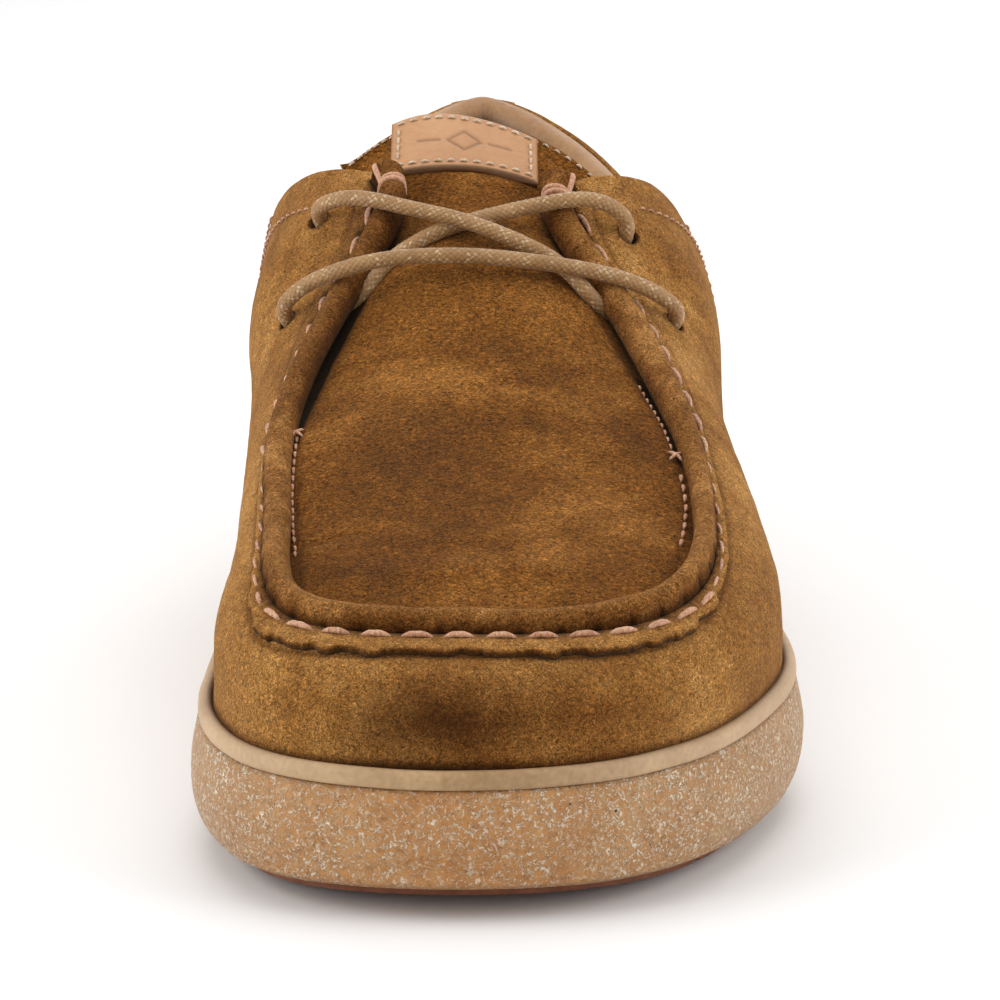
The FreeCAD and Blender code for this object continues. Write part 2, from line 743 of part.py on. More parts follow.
def make_tongue():
    """The free end of the tongue, its lining and the leather patch on it."""
    suede = size("suede")
    lining_in = suede + size("layer_gap")
    joint = size("tongue_joint_back")
    tip = 191.0
    across = steps_between(-1.0, 1.0, 13)

    def tongue_layer(width, start, finish, depth0, depth1):
        outer = []
        inner = []
        for part in steps_between(0.0, 1.0, 13):
            # the joint end is bowed back at its two sides, clear of the apron
            places = [start + 5.0 * w * w + (finish - start - 5.0 * w * w) * part for w in across]
            half = width - TONGUE_TAPER * part
            outer.append([apron(t, w * half, depth0) for t, w in zip(places, across)])
            inner.append([apron(t, w * half, depth1) for t, w in zip(places, across)])
        return sheet_solid(outer, inner)

    piece("tongue", tongue_layer(0.84, joint, tip, 0.0, suede))
    piece("tongue_lining", tongue_layer(0.78, joint + 1.5, tip - 0.6, lining_in, lining_in + size("lining")))

    middle = apron_skin(182.0, 0.0)
    along = (apron_skin(189.0, 0.0) - apron_skin(175.0, 0.0)).normalize()
    across_dir = (apron_skin(182.0, 0.45) - apron_skin(182.0, -0.45)).normalize()
    up = across_dir.cross(along).normalize()
    across_dir = along.cross(up).normalize()
    turn = FreeCAD.Matrix(across_dir.x, along.x, up.x, 0, across_dir.y, along.y, up.y, 0,
                          across_dir.z, along.z, up.z, 0, 0, 0, 0, 1)
    body = doc.addObject("PartDesign::Body", "label")
    body.Label = "label"
    sketch = body.newObject("Sketcher::SketchObject", "label_outline")
    plane = [f for f in body.Origin.OriginFeatures if f.Role == "XY_Plane"][0]
    sketch.AttachmentSupport = (plane, [""])
    sketch.MapMode = "FlatFace"
    half_w = size("label_width") / 2.0
    half_h = size("label_height") / 2.0
    corners = (Vector(-half_w, -half_h, 0), Vector(half_w, -half_h, 0),
               Vector(half_w, half_h, 0), Vector(-half_w, half_h, 0))
    for i in range(4):
        sketch.addGeometry(Part.LineSegment(corners[i], corners[(i + 1) % 4]), False)
    pad = body.newObject("PartDesign::Pad", "label_plate")
    pad.Profile = sketch
    pad.setExpression("Length", "sizes.label_thickness")
    place = Placement(turn)
    place.Base = middle + up * 0.15
    body.Placement = place
    PIECES.append(body)


# ---------------------------------------------------------------- lace
def route_path(points, least):
    """Straight runs joined by tangent arcs; prints each arc's radius."""
    edges = []
    start = points[0]
    radii = []
    for i in range(1, len(points) - 1):
        before = points[i - 1] - points[i]
        after = points[i + 1] - points[i]
        turn = math.pi - before.getAngle(after)
        shorter = min(before.Length, after.Length)
        reach = 0.45 * shorter
        radius = reach / math.tan(turn / 2.0)
        first = points[i] + before.normalize() * reach
        last = points[i] + after.normalize() * reach
        to_middle = (before + after).normalize()
        centre = points[i] + to_middle * (radius / math.cos(turn / 2.0))
        crest = centre - to_middle * radius
        edges.append(Part.LineSegment(start, first).toShape())
        edges.append(Part.Arc(first, crest, last).toShape())
        start = last
        radii.append(radius)
    edges.append(Part.LineSegment(start, points[-1]).toShape())
    path = Part.Wire(edges)
    print("  radii", " ".join("%.1f" % r for r in radii), "least wanted", least)
    return path


def tube(label, points, diameter, least):
    """A round lace along a route."""
    print(label, "points", len(points))
    path = route_path(points, least)
    direction = points[1] - points[0]
    ring = Part.Wire(Part.makeCircle(diameter / 2.0, points[0], direction))
    body = path.makePipeShell([ring], True, False)
    wanted = math.pi * diameter ** 2 / 4.0 * path.Length
    print("  length %.1f volume ratio %.4f" % (path.Length, body.Volume / wanted))
    return body


def lace_points():
    """The stretch that the four lace holes hold, from end to end."""
    iu, iu_out = hole_axis("inner_upper")
    il, il_out = hole_axis("inner_lower")
    ou, ou_out = hole_axis("outer_upper")
    ol, ol_out = hole_axis("outer_lower")
    return [
        iu - iu_out * 5.0,
        iu + iu_out * 2.8,
        at(-32.0, 162.5, 97.4),
        at(-26.0, 158.0, 98.2),
        at(-17.5, 155.4, 96.6),
        at(-7.3, 152.0, 95.1),
        at(3.2, 148.2, 91.8),
        at(11.8, 145.4, 87.9),
        at(17.8, 141.0, 81.8),
        at(23.0, 143.5, 75.6),
        ol - ol_out * 6.5,
        ol + ol_out * 2.8,
        at(30.0, 144.6, 82.4),
        at(22.0, 142.8, 85.9),
        at(12.5, 141.8, 88.0),
        at(-3.8, 140.6, 90.3),
        at(-17.6, 140.8, 90.1),
        at(-25.6, 141.0, 88.9),
        at(-32.4, 141.6, 86.8),
        at(-39.4, 143.6, 83.0),
        il + il_out * 2.8,
        il - il_out * 6.5,
        at(-30.6, 144.2, 76.4),
        at(-26.2, 144.4, 82.4),
        at(-22.0, 149.4, 87.4),
        at(-13.6, 152.6, 92.2),
        at(-5.8, 155.0, 94.3),
        at(4.0, 158.6, 96.0),
        at(14.6, 160.4, 97.8),
        at(21.4, 162.0, 96.6),
        ou + ou_out * 2.8,
        ou - ou_out * 5.0,
    ]


def tail_points(name):
    """A free end of the lace: down the lining, then back along the footbed."""
    place, out = hole_axis(name)
    start = place - out * 5.0
    side = 1.0 if name.startswith("outer") else -1.0
    return [
        start,
        start - out * 4.0 + Vector(0, 0, -1.0),
        start - out * 7.0 + Vector(0, 1.0, -6.0),
        start - out * 7.4 + Vector(side * 1.0, 2.5, -15.0),
        start - out * 7.0 + Vector(side * 1.8, 5.0, -30.0),
    ]


TAIL_END_INNER = (
    (-28.0, 184.0, 40.0),
    (-25.5, 199.0, 32.0),
    (-20.5, 217.0, 32.4),
    (-17.0, 236.0, 32.8),
    (-15.0, 255.0, 32.8),
    (-10.0, 270.0, 32.8),
)
TAIL_END_OUTER = (
    (24.0, 182.0, 38.0),
    (21.0, 197.0, 32.0),
    (13.0, 212.0, 32.4),
    (6.5, 229.0, 32.8),
    (6.0, 247.0, 32.8),
    (8.5, 261.5, 32.8),
)


def make_lace():
    """The laced stretch, its two free ends and their tips."""
    diameter = size("lace")
    piece("lace", tube("lace", lace_points(), diameter, diameter))
    for side, name, rest in (("medial", "inner_upper", TAIL_END_INNER),
                             ("lateral", "outer_upper", TAIL_END_OUTER)):
        points = tail_points(name) + [at(*p) for p in rest]
        piece("lace_tail_" + side, tube("lace_tail_" + side, points, diameter, 3 * diameter))
        tip = doc.addObject("Part::Cylinder", "aglet_" + side)
        tip.Label = "aglet_" + side
        tip.setExpression("Radius", "sizes.aglet / 2")
        tip.setExpression("Height", "sizes.aglet_length")
        along = points[-1] - points[-2]
        tip.Placement = Placement(points[-1], Rotation(Vector(0, 0, 1), along))
        PIECES.append(tip)


# ---------------------------------------------------------------- build, check, export
make_sole()
make_inner_sole()
make_upper()
make_apron()
make_tongue()
make_lace()
doc.recompute()

problems = []
for item in doc.Objects:
    if "Invalid" in item.State or "Error" in item.State:
        problems.append("%s is %s" % (item.Label, item.State))
for item in PIECES:
    if item.Shape.isNull() or not item.Shape.isValid():
        problems.append("%s has a bad shape" % item.Label)
if problems:
    raise RuntimeError("; ".join(problems))

os.makedirs("parts", exist_ok=True)
for item in PIECES:
    item.Shape.exportStep(os.path.join("parts", item.Label + ".step"))
    box = item.Shape.BoundBox
    print("%-18s solids %2d volume %9.1f  x %.1f %.1f  y %.1f %.1f  z %.1f %.1f" % (
        item.Label, len(item.Shape.Solids), item.Shape.Volume,
        box.XMin, box.XMax, box.YMin, box.YMax, box.ZMin, box.ZMax))
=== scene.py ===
import math

import bpy
import numpy as np
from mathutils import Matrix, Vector


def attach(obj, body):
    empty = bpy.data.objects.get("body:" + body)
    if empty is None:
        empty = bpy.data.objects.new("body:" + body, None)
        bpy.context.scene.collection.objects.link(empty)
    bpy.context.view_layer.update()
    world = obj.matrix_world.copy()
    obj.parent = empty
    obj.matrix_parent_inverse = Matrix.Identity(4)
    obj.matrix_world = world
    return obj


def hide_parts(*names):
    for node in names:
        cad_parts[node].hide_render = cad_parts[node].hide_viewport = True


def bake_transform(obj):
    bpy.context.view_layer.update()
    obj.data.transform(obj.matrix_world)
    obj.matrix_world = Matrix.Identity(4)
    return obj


# A laced moccasin shoe, left foot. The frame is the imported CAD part, in metres: toe towards -Y,
# heel towards +Y, +X the outer side. Lengths in this script are millimetres until a mesh is made.

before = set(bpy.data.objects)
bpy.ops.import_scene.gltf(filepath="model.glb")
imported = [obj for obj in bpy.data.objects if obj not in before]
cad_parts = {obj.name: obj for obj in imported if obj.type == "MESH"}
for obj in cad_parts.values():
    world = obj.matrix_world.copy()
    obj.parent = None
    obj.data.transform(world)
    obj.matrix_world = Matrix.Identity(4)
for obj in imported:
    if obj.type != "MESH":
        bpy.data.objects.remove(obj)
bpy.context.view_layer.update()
SHOE = "upper_and_sole"
TONGUE = "tongue"
MM = 0.001
LENGTH = 302.0
scene = bpy.context.scene


# ---------------------------------------------------------------- camera, world, light
def link(obj):
    scene.collection.objects.link(obj)
    return obj


camera = link(bpy.data.objects.new("camera", bpy.data.cameras.new("camera")))
camera.data.lens = 196.96
camera.data.sensor_width = 36.0
camera.data.clip_start = 0.05
camera.location = (0.0, -1.051, 0.3008)
camera.rotation_euler = (math.radians(76.0), 0.0, 0.0)
scene.camera = camera

scene.view_settings.view_transform = "Standard"

world = bpy.data.worlds.new("studio")
world.use_nodes = True
world.node_tree.nodes["Background"].inputs["Color"].default_value = (1.0, 1.0, 1.0, 1.0)
world.node_tree.nodes["Background"].inputs["Strength"].default_value = 0.42
scene.world = world


def softbox(name, place, aim, width, height, power, colour=(1.0, 1.0, 1.0)):
    light = bpy.data.lights.new(name, "AREA")
    light.shape = "RECTANGLE"
    light.size = width
    light.size_y = height
    light.energy = power
    light.color = colour
    obj = link(bpy.data.objects.new(name, light))
    obj.location = place
    obj.rotation_euler = (Vector(aim) - Vector(place)).to_track_quat("-Z", "Y").to_euler()
    return obj


softbox("light_left", (-0.80, -0.28, 0.36), (0.0, -0.02, 0.04), 0.7, 0.9, 6.2)
softbox("light_right", (0.80, -0.24, 0.34), (0.0, -0.02, 0.04), 0.7, 0.9, 5.2)
softbox("light_top", (0.0, 0.15, 0.95), (0.0, -0.02, 0.05), 0.9, 0.9, 4.4)
softbox("light_back", (0.1, 0.95, 0.55), (0.0, 0.1, 0.05), 0.9, 0.6, 3.0)


# ---------------------------------------------------------------- curves and noise
class Curve:
    """Smooth cubic curve through points, one knot each; a closed one returns to its start."""

    def __init__(self, knots, points, closed=False):
        k = np.array(knots, float)
        p = np.array(points, float)
        if closed:
            p = np.vstack([p, p[:1]])
        spans = len(k) - 1
        h = np.diff(k)
        size = spans if closed else spans + 1
        matrix = np.zeros((size, size))
        right = np.zeros((size, p.shape[1]))
        for i in range(size):
            if not closed and i in (0, spans):
                matrix[i, i] = 1.0
                continue
            before, after = h[(i - 1) % spans], h[i]
            matrix[i, (i - 1) % size] += before
            matrix[i, i] += 2.0 * (before + after)
            matrix[i, (i + 1) % size] += after
            last = p[i - 1] if i else p[spans - 1]
            right[i] = 6.0 * ((p[i + 1] - p[i]) / after - (p[i] - last) / before)
        bends = np.linalg.solve(matrix, right)
        if closed:
            bends = np.vstack([bends, bends[:1]])
        self.k, self.p, self.bends, self.closed = k, p, bends, closed

    def __call__(self, t):
        k = self.k
        t = np.asarray(t, float)
        if self.closed:
            t = (t - k[0]) % (k[-1] - k[0]) + k[0]
        i = np.clip(np.searchsorted(k, t, side="left") - 1, 0, len(k) - 2)
        step = (k[i + 1] - k[i])[..., None]
        a = (k[i + 1] - t)[..., None]
        b = (t - k[i])[..., None]
        m0, m1, p0, p1 = self.bends[i], self.bends[i + 1], self.p[i], self.p[i + 1]
        value = (m0 * a ** 3 + m1 * b ** 3) / (6.0 * step)
        return value + (p0 / step - m0 * step / 6.0) * a + (p1 / step - m1 * step / 6.0) * b


def ease(t):
    t = np.clip(t, 0.0, 1.0)
    return t * t * (3.0 - 2.0 * t)


def unit(v):
    return v / np.maximum(np.linalg.norm(v, axis=-1, keepdims=True), 1e-12)


def lattice(i, j, k, seed):
    n = i * 374761393 + j * 668265263 + k * 1274126177 + seed * 974634777
    n = (n ^ (n >> 13)) * 1103515245
    n = (n ^ (n >> 16)) & 0xFFFF
    return n / 32767.5 - 1.0


def noise(p, scale, seed=0):
    """Smooth noise from -1 to 1 with features of about scale millimetres."""
    q = np.asarray(p, float) / scale
    low = np.floor(q).astype(np.int64)
    f = q - low
    f = f * f * f * (f * (f * 6.0 - 15.0) + 10.0)
    total = 0.0
    for a in (0, 1):
        for b in (0, 1):
            for c in (0, 1):
                weight = np.abs(1 - a - f[..., 0]) * np.abs(1 - b - f[..., 1]) * np.abs(1 - c - f[..., 2])
                total = total + weight * lattice(low[..., 0] + a, low[..., 1] + b, low[..., 2] + c, seed)
    return total


def layered(p, scale, seed=0, octaves=3):
    total = 0.0
    size = 1.0
    for octave in range(octaves):
        total = total + size * noise(p, scale, seed + octave)
        scale *= 0.5
        size *= 0.5
    return total / 1.75


# ---------------------------------------------------------------- shape of the shoe
ARCH_START, HEEL_START = 110.0, 240.0


def heel_rise(back):
    return ease((back - ARCH_START) / (HEEL_START - ARCH_START))


def ground(back):
    toe = np.maximum(0.0, (62.0 - back) / 62.0) ** 1.7
    heel = np.maximum(0.0, (back - 262.0) / (LENGTH - 262.0)) ** 2
    return 4.0 * toe + 1.5 * heel


def rim_top(back):
    return 27.0 + 6.0 * heel_rise(back)


def cup_floor(back):
    return 8.0 + 0.8 * ground(back)


RIBS = np.array((
    (-5.0, 5.7, -4.0, 24.0, 46.0, 6.0, 5.5),
    (-25.0, 8.2, -19.0, 25.2, 45.8, 6.0, 5.5),
    (-41.5, 18.5, -34.0, 30.5, 46.6, 5.0, 5.2),
    (-50.6, 39.0, -41.2, 44.0, 49.6, 3.5, 4.8),
    (-51.9, 72.0, -43.0, 72.0, 55.3, 1.5, 3.2),
    (-50.0, 100.0, -41.0, 101.0, 63.8, 2.0, 4.5),
    (-45.5, 128.0, -34.3, 129.0, 75.0, 7.0, 9.0),
    (-41.0, 150.0, -28.0, 149.0, 85.3, 12.0, 13.5),
    (-38.5, 162.0, -22.2, 168.0, 98.0, 16.0, 16.5),
    (-36.8, 175.0, -31.1, 180.0, 99.9, 14.5, 13.5),
    (-35.6, 188.0, -40.5, 190.0, 95.8, 11.5, 9.0),
    (-34.8, 206.0, -47.0, 206.0, 84.0, 8.0, 5.5),
    (-34.5, 229.0, -45.0, 228.0, 75.5, 6.5, 4.5),
    (-33.3, 256.0, -34.0, 256.0, 83.0, 5.5, 4.0),
    (-26.5, 280.0, -21.5, 279.0, 90.5, 5.5, 5.0),
    (-3.0, 296.5, -3.8, 292.0, 95.0, 3.5, 4.0),
    (20.5, 280.0, 14.5, 279.0, 90.5, 5.5, 5.0),
    (27.8, 256.0, 26.8, 256.0, 83.5, 5.5, 4.0),
    (30.8, 229.0, 37.0, 228.0, 75.5, 6.0, 4.5),
    (34.5, 206.0, 38.3, 206.0, 82.5, 7.0, 5.5),
    (37.7, 188.0, 32.4, 190.0, 93.7, 8.5, 7.5),
    (40.0, 175.0, 24.1, 180.0, 98.5, 10.5, 10.5),
    (42.0, 162.0, 11.9, 169.0, 97.0, 13.5, 15.5),
    (44.3, 150.0, 19.5, 149.0, 83.5, 9.5, 12.0),
    (47.5, 128.0, 27.3, 129.0, 74.6, 6.0, 8.5),
    (50.8, 104.0, 34.6, 102.0, 64.3, 4.8, 6.5),
    (52.6, 78.0, 37.6, 74.0, 55.8, 5.0, 6.0),
    (46.5, 50.0, 34.8, 45.0, 49.7, 5.0, 5.8),
    (35.0, 26.5, 26.0, 31.5, 46.9, 5.3, 5.4),
    (16.0, 10.2, 11.0, 25.4, 45.8, 6.0, 5.5),
))
NODES = (0.0, 1.0 / 3.0, 0.76, 1.0)


def rib_lines():
    feet = np.stack([RIBS[:, 0], RIBS[:, 1] - 151.0, rim_top(RIBS[:, 1]) - 2.5], -1)
    heads = np.stack([RIBS[:, 2], RIBS[:, 3] - 151.0, RIBS[:, 4]], -1)
    along = (unit(np.roll(feet, -1, 0) - np.roll(feet, 1, 0))
             + unit(np.roll(heads, -1, 0) - np.roll(heads, 1, 0)))
    along[:, 2] = 0.0
    rib = heads - feet
    out = unit(np.cross(rib, along))
    lows = feet + rib * NODES[1] + out * RIBS[:, 5:6]
    highs = feet + rib * NODES[2] + out * RIBS[:, 6:7]
    foot_step = np.linalg.norm((np.roll(feet, -1, 0) - feet)[:, :2], axis=1)
    head_step = np.linalg.norm(np.roll(heads, -1, 0) - heads, axis=1)
    knots = np.concatenate([[0.0], np.cumsum(0.5 * (foot_step + head_step))])
    return [Curve(knots, line, closed=True) for line in (feet, lows, highs, heads)], knots


LINES, KNOTS = rib_lines()
ROUND = KNOTS[-1]


def knot(rib):
    whole = int(math.floor(rib))
    return KNOTS[whole] + (rib - whole) * (KNOTS[whole + 1] - KNOTS[whole])


def wall_skin(u, v):
    """Outer face of the upper: u round the shoe, v from the rim (0) to the top edge (1)."""
    u, v = np.broadcast_arrays(np.asarray(u, float), np.asarray(v, float))
    total = 0.0
    for i, node in enumerate(NODES):
        weight = 1.0
        for k, other in enumerate(NODES):
            if k != i:
                weight = weight * (v - other) / (node - other)
        total = total + weight[..., None] * LINES[i](u)
    return total


def wall_normal(u, v):
    along = wall_skin(u + 0.3, v) - wall_skin(u - 0.3, v)
    up = wall_skin(u, v + 0.004) - wall_skin(u, v - 0.004)
    return unit(np.cross(up, along))


def wall(u, v, depth=0.0):
    depth = np.asarray(depth, float)
    return wall_skin(u, v) - wall_normal(u, v) * depth[..., None]


_places = np.linspace(0.0, ROUND, 1200)
_lengths = np.linalg.norm(np.diff(wall_skin(_places[:, None], np.linspace(0.0, 1.0, 17)[None, :]),
                                  axis=1), axis=2).sum(1)


def rib_length(u):
    return np.interp(np.asarray(u, float) % ROUND, _places, _lengths)


def from_edge(u, down, depth=0.0):
    """A point of the upper, given in millimetres down from its top edge."""
    u, down, depth = np.broadcast_arrays(np.asarray(u, float), np.asarray(down, float),
                                         np.asarray(depth, float))
    return wall(u, 1.0 - down / rib_length(u), depth)


CROSS = (
    (24.4, (-19.0, 25.6, 46.2), (-4.0, 24.6, 46.4), (11.0, 25.6, 46.2), 2.0),
    (31.0, (-33.0, 31.0, 46.8), (-4.0, 31.0, 48.4), (25.5, 32.0, 46.8), 2.0),
    (44.5, (-40.3, 44.5, 49.8), (-4.0, 44.5, 52.8), (34.0, 45.5, 49.8), 2.0),
    (72.0, (-42.0, 72.0, 55.5), (-4.0, 72.0, 60.0), (36.8, 74.0, 56.0), 2.0),
    (100.0, (-40.3, 100.0, 64.0), (-4.0, 100.0, 69.0), (34.0, 101.0, 64.4), 2.0),
    (128.0, (-36.0, 128.0, 70.0), (-4.3, 128.0, 79.8), (28.5, 128.0, 70.0), 2.2),
    (148.0, (-31.0, 148.0, 79.0), (-4.8, 148.0, 89.5), (22.0, 148.0, 78.0), 2.3),
    (163.0, (-29.0, 163.0, 86.0), (-6.0, 163.0, 95.2), (19.0, 163.0, 84.0), 2.2),
    (174.0, (-31.0, 176.0, 94.5), (-7.6, 174.0, 100.0), (20.0, 174.0, 90.0), 2.0),
    (191.0, (-31.0, 181.0, 100.5), (-10.0, 191.0, 108.8), (20.0, 184.0, 98.5), 2.0),
)
CROSS_KNOTS = [row[0] for row in CROSS]
LEFT_EDGE = Curve(CROSS_KNOTS, [row[1] for row in CROSS])
MIDDLE = Curve(CROSS_KNOTS, [row[2] for row in CROSS])
RIGHT_EDGE = Curve(CROSS_KNOTS, [row[3] for row in CROSS])
CROWN = Curve(CROSS_KNOTS, [(row[4],) for row in CROSS])


def apron_skin(t, w):
    """Outer face of the apron and tongue: t along the shoe, w across it from -1 to 1."""
    t, w = np.broadcast_arrays(np.asarray(t, float), np.asarray(w, float))
    middle = MIDDLE(t)
    edge = np.where((w < 0.0)[..., None], LEFT_EDGE(t), RIGHT_EDGE(t))
    across = np.abs(w)
    x = middle[..., 0] + (edge[..., 0] - middle[..., 0]) * across
    back = middle[..., 1] + (edge[..., 1] - middle[..., 1]) * across ** 2
    z = middle[..., 2] + (edge[..., 2] - middle[..., 2]) * across ** CROWN(t)[..., 0]
    return np.stack([x, back - 151.0, z], -1)


def apron_normal(t, w):
    along = apron_skin(t + 0.4, w) - apron_skin(t - 0.4, w)
    across = apron_skin(t, w + 0.02) - apron_skin(t, w - 0.02)
    return unit(np.cross(across, along))


def apron(t, w, depth=0.0):
    return apron_skin(t, w) - apron_normal(t, w) * np.asarray(depth, float)[..., None]


def outline(u, out):
    """A point beside the foot line of the upper (x, y only), out millimetres outside it."""
    u = np.asarray(u, float)
    along = LINES[0](u + 0.5) - LINES[0](u - 0.5)
    along[..., 2] = 0.0
    along = unit(along)
    foot = LINES[0](u)
    side = np.stack([-along[..., 1], along[..., 0], np.zeros_like(u)], -1)
    place = foot + side * np.asarray(out, float)[..., None]
    place[..., 2] = 0.0
    return place


HOLES = {
    "inner_upper": (188.0, 12.0),
    "inner_lower": (164.0, 12.2),
    "outer_upper": (492.7, 11.2),
    "outer_lower": (509.0, 13.0),
}


def hole_axis(name):
    u, down = HOLES[name]
    place = from_edge(u, down)
    return place, unit(place - from_edge(u, down, 1.0))


# ---------------------------------------------------------------- the free ends of the lace
TAIL_MEDIAL = (
    (-0.0335, 0.0209, 0.0877),
    (-0.0313, 0.0225, 0.0838),
    (-0.0297, 0.0248, 0.0766),
    (-0.0305, 0.0265, 0.0673),
    (-0.0315, 0.0288, 0.0526),
    (-0.0280, 0.0330, 0.0400),
    (-0.0255, 0.0480, 0.0320),
    (-0.0205, 0.0660, 0.0324),
    (-0.0170, 0.0850, 0.0328),
    (-0.0150, 0.1040, 0.0328),
    (-0.0100, 0.1190, 0.0328),
)
TAIL_LATERAL = (
    (0.0235, 0.0158, 0.0855),
    (0.0219, 0.0178, 0.0814),
    (0.0208, 0.0203, 0.0741),
    (0.0216, 0.0220, 0.0648),
    (0.0226, 0.0243, 0.0501),
    (0.0240, 0.0310, 0.0380),
    (0.0210, 0.0460, 0.0320),
    (0.0130, 0.0610, 0.0324),
    (0.0065, 0.0780, 0.0328),
    (0.0060, 0.0960, 0.0328),
    (0.0085, 0.1105, 0.0328),
)
LACE = (
    (-0.0335, 0.0209, 0.0877),
    (-0.0377, 0.0177, 0.0935),
    (-0.0320, 0.0115, 0.0974),
    (-0.0260, 0.0070, 0.0982),
    (-0.0175, 0.0044, 0.0966),
    (-0.0073, 0.0010, 0.0951),
    (0.0032, -0.0028, 0.0918),
    (0.0118, -0.0056, 0.0879),
    (0.0178, -0.0100, 0.0818),
    (0.0230, -0.0075, 0.0756),
    (0.0301, 0.0000, 0.0704),
    (0.0362, -0.0024, 0.0770),
    (0.0300, -0.0064, 0.0824),
    (0.0220, -0.0082, 0.0859),
    (0.0125, -0.0092, 0.0880),
    (-0.0038, -0.0104, 0.0903),
    (-0.0176, -0.0102, 0.0901),
    (-0.0256, -0.0100, 0.0889),
    (-0.0324, -0.0094, 0.0868),
    (-0.0394, -0.0074, 0.0830),
    (-0.0435, -0.0025, 0.0772),
    (-0.0370, -0.0001, 0.0711),
    (-0.0306, -0.0068, 0.0764),
    (-0.0262, -0.0066, 0.0824),
    (-0.0220, -0.0016, 0.0874),
    (-0.0136, 0.0016, 0.0922),
    (-0.0058, 0.0040, 0.0943),
    (0.0040, 0.0076, 0.0960),
    (0.0146, 0.0094, 0.0978),
    (0.0214, 0.0110, 0.0966),
    (0.0265, 0.0120, 0.0916),
    (0.0235, 0.0158, 0.0855),
)


def smooth_line(points):
    """Points in millimetres along the smooth line that has these control points."""
    data = bpy.data.curves.new("route", "CURVE")
    data.dimensions = "3D"
    data.resolution_u = 24
    spline = data.splines.new("NURBS")
    spline.points.add(len(points) - 1)
    for point, place in zip(spline.points, points):
        point.co = (*place, 1.0)
    spline.order_u = 3
    spline.use_endpoint_u = True
    carrier = link(bpy.data.objects.new("route", data))
    bpy.context.view_layer.update()
    line = bpy.data.meshes.new_from_object(carrier)
    places = np.array([v.co for v in line.vertices]) / MM
    bpy.data.objects.remove(carrier)
    bpy.data.curves.remove(data)
    bpy.data.meshes.remove(line)
    keep = np.concatenate([[True], np.linalg.norm(np.diff(places, axis=0), axis=1) > 1e-4])
    return places[keep]


def even(line, step):
    """The same line with its points an even step apart."""
    length = np.concatenate([[0.0], np.cumsum(np.linalg.norm(np.diff(line, axis=0), axis=1))])
    count = max(2, int(round(length[-1] / step)) + 1)
    at_length = np.linspace(0.0, length[-1], count)
    return np.stack([np.interp(at_length, length, line[:, c]) for c in range(3)], -1), at_length


def frames(line):
    """Tangent and two steady sideways directions along a line."""
    tangent = np.gradient(line, axis=0)
    tangent = unit(tangent)
    side = np.zeros_like(line)
    first = np.cross(tangent[0], (0.0, 0.0, 1.0))
    side[0] = first / np.linalg.norm(first)
    for i in range(1, len(line)):
        turned = side[i - 1] - tangent[i] * np.dot(side[i - 1], tangent[i])
        side[i] = turned / np.linalg.norm(turned)
    return tangent, side, np.cross(tangent, side)


# ---------------------------------------------------------------- meshes
def make_mesh(name, places, quads, material, tris=None, marks=None):
    """A mesh object from points in millimetres; marks are numbers per point that a material reads."""
    quads = np.asarray(quads, np.int32).reshape(-1, 4)
    tris = np.zeros((0, 3), np.int32) if tris is None else np.asarray(tris, np.int32).reshape(-1, 3)
    places = np.asarray(places, float).reshape(-1, 3)
    p = places[quads]
    q = places[tris]
    volume = np.einsum("ij,ij->i", p[:, 0], np.cross(p[:, 1], p[:, 2])).sum()
    volume += np.einsum("ij,ij->i", p[:, 0], np.cross(p[:, 2], p[:, 3])).sum()
    volume += np.einsum("ij,ij->i", q[:, 0], np.cross(q[:, 1], q[:, 2])).sum()
    if volume < 0.0:
        quads = quads[:, ::-1]
        tris = tris[:, ::-1]
    data = bpy.data.meshes.new(name)
    data.vertices.add(len(places))
    data.vertices.foreach_set("co", (places * MM).ravel())
    data.loops.add(quads.size + tris.size)
    data.loops.foreach_set("vertex_index", np.concatenate([quads.ravel(), tris.ravel()]))
    starts = np.concatenate([np.arange(len(quads)) * 4, quads.size + np.arange(len(tris)) * 3])
    data.polygons.add(len(starts))
    data.polygons.foreach_set("loop_start", starts.astype(np.int32))
    data.polygons.foreach_set("use_smooth", np.ones(len(starts), bool))
    data.update(calc_edges=True)
    for key, values in (marks or {}).items():
        attribute = data.attributes.new(key, "FLOAT", "POINT")
        attribute.data.foreach_set("value", np.broadcast_to(values, (len(places),)).astype(np.float32))
    data.materials.append(material)
    return link(bpy.data.objects.new(name, data))


def grid_quads(rows, columns, close_rows=False, close_columns=False, start=0):
    r = np.arange(rows if close_rows else rows - 1)
    c = np.arange(columns if close_columns else columns - 1)
    r, c = np.meshgrid(r, c, indexing="ij")
    r2 = (r + 1) % rows
    c2 = (c + 1) % columns
    return np.stack([r * columns + c, r2 * columns + c, r2 * columns + c2, r * columns + c2],
                    -1).reshape(-1, 4) + start


def loop_solid(name, points, material, close_rows=False, marks=None):
    """A solid from rows of closed section loops; open ends are capped."""
    rows, columns = points.shape[:2]
    places = points.reshape(-1, 3)
    quads = grid_quads(rows, columns, close_rows, True)
    tris = []
    marks = {k: np.broadcast_to(v, (rows, columns)).ravel() for k, v in (marks or {}).items()}
    if not close_rows:
        for row, turn in ((0, 1), (rows - 1, -1)):
            middle = len(places)
            places = np.vstack([places, points[row].mean(0)[None]])
            marks = {k: np.append(v, v[row * columns:(row + 1) * columns].mean()) for k, v in marks.items()}
            ring = row * columns + np.arange(columns)
            fan = np.stack([np.full(columns, middle), ring, np.roll(ring, -1)], -1)
            tris.append(fan[:, ::turn])
    return make_mesh(name, places, quads, material, np.concatenate(tris) if tris else None, marks)


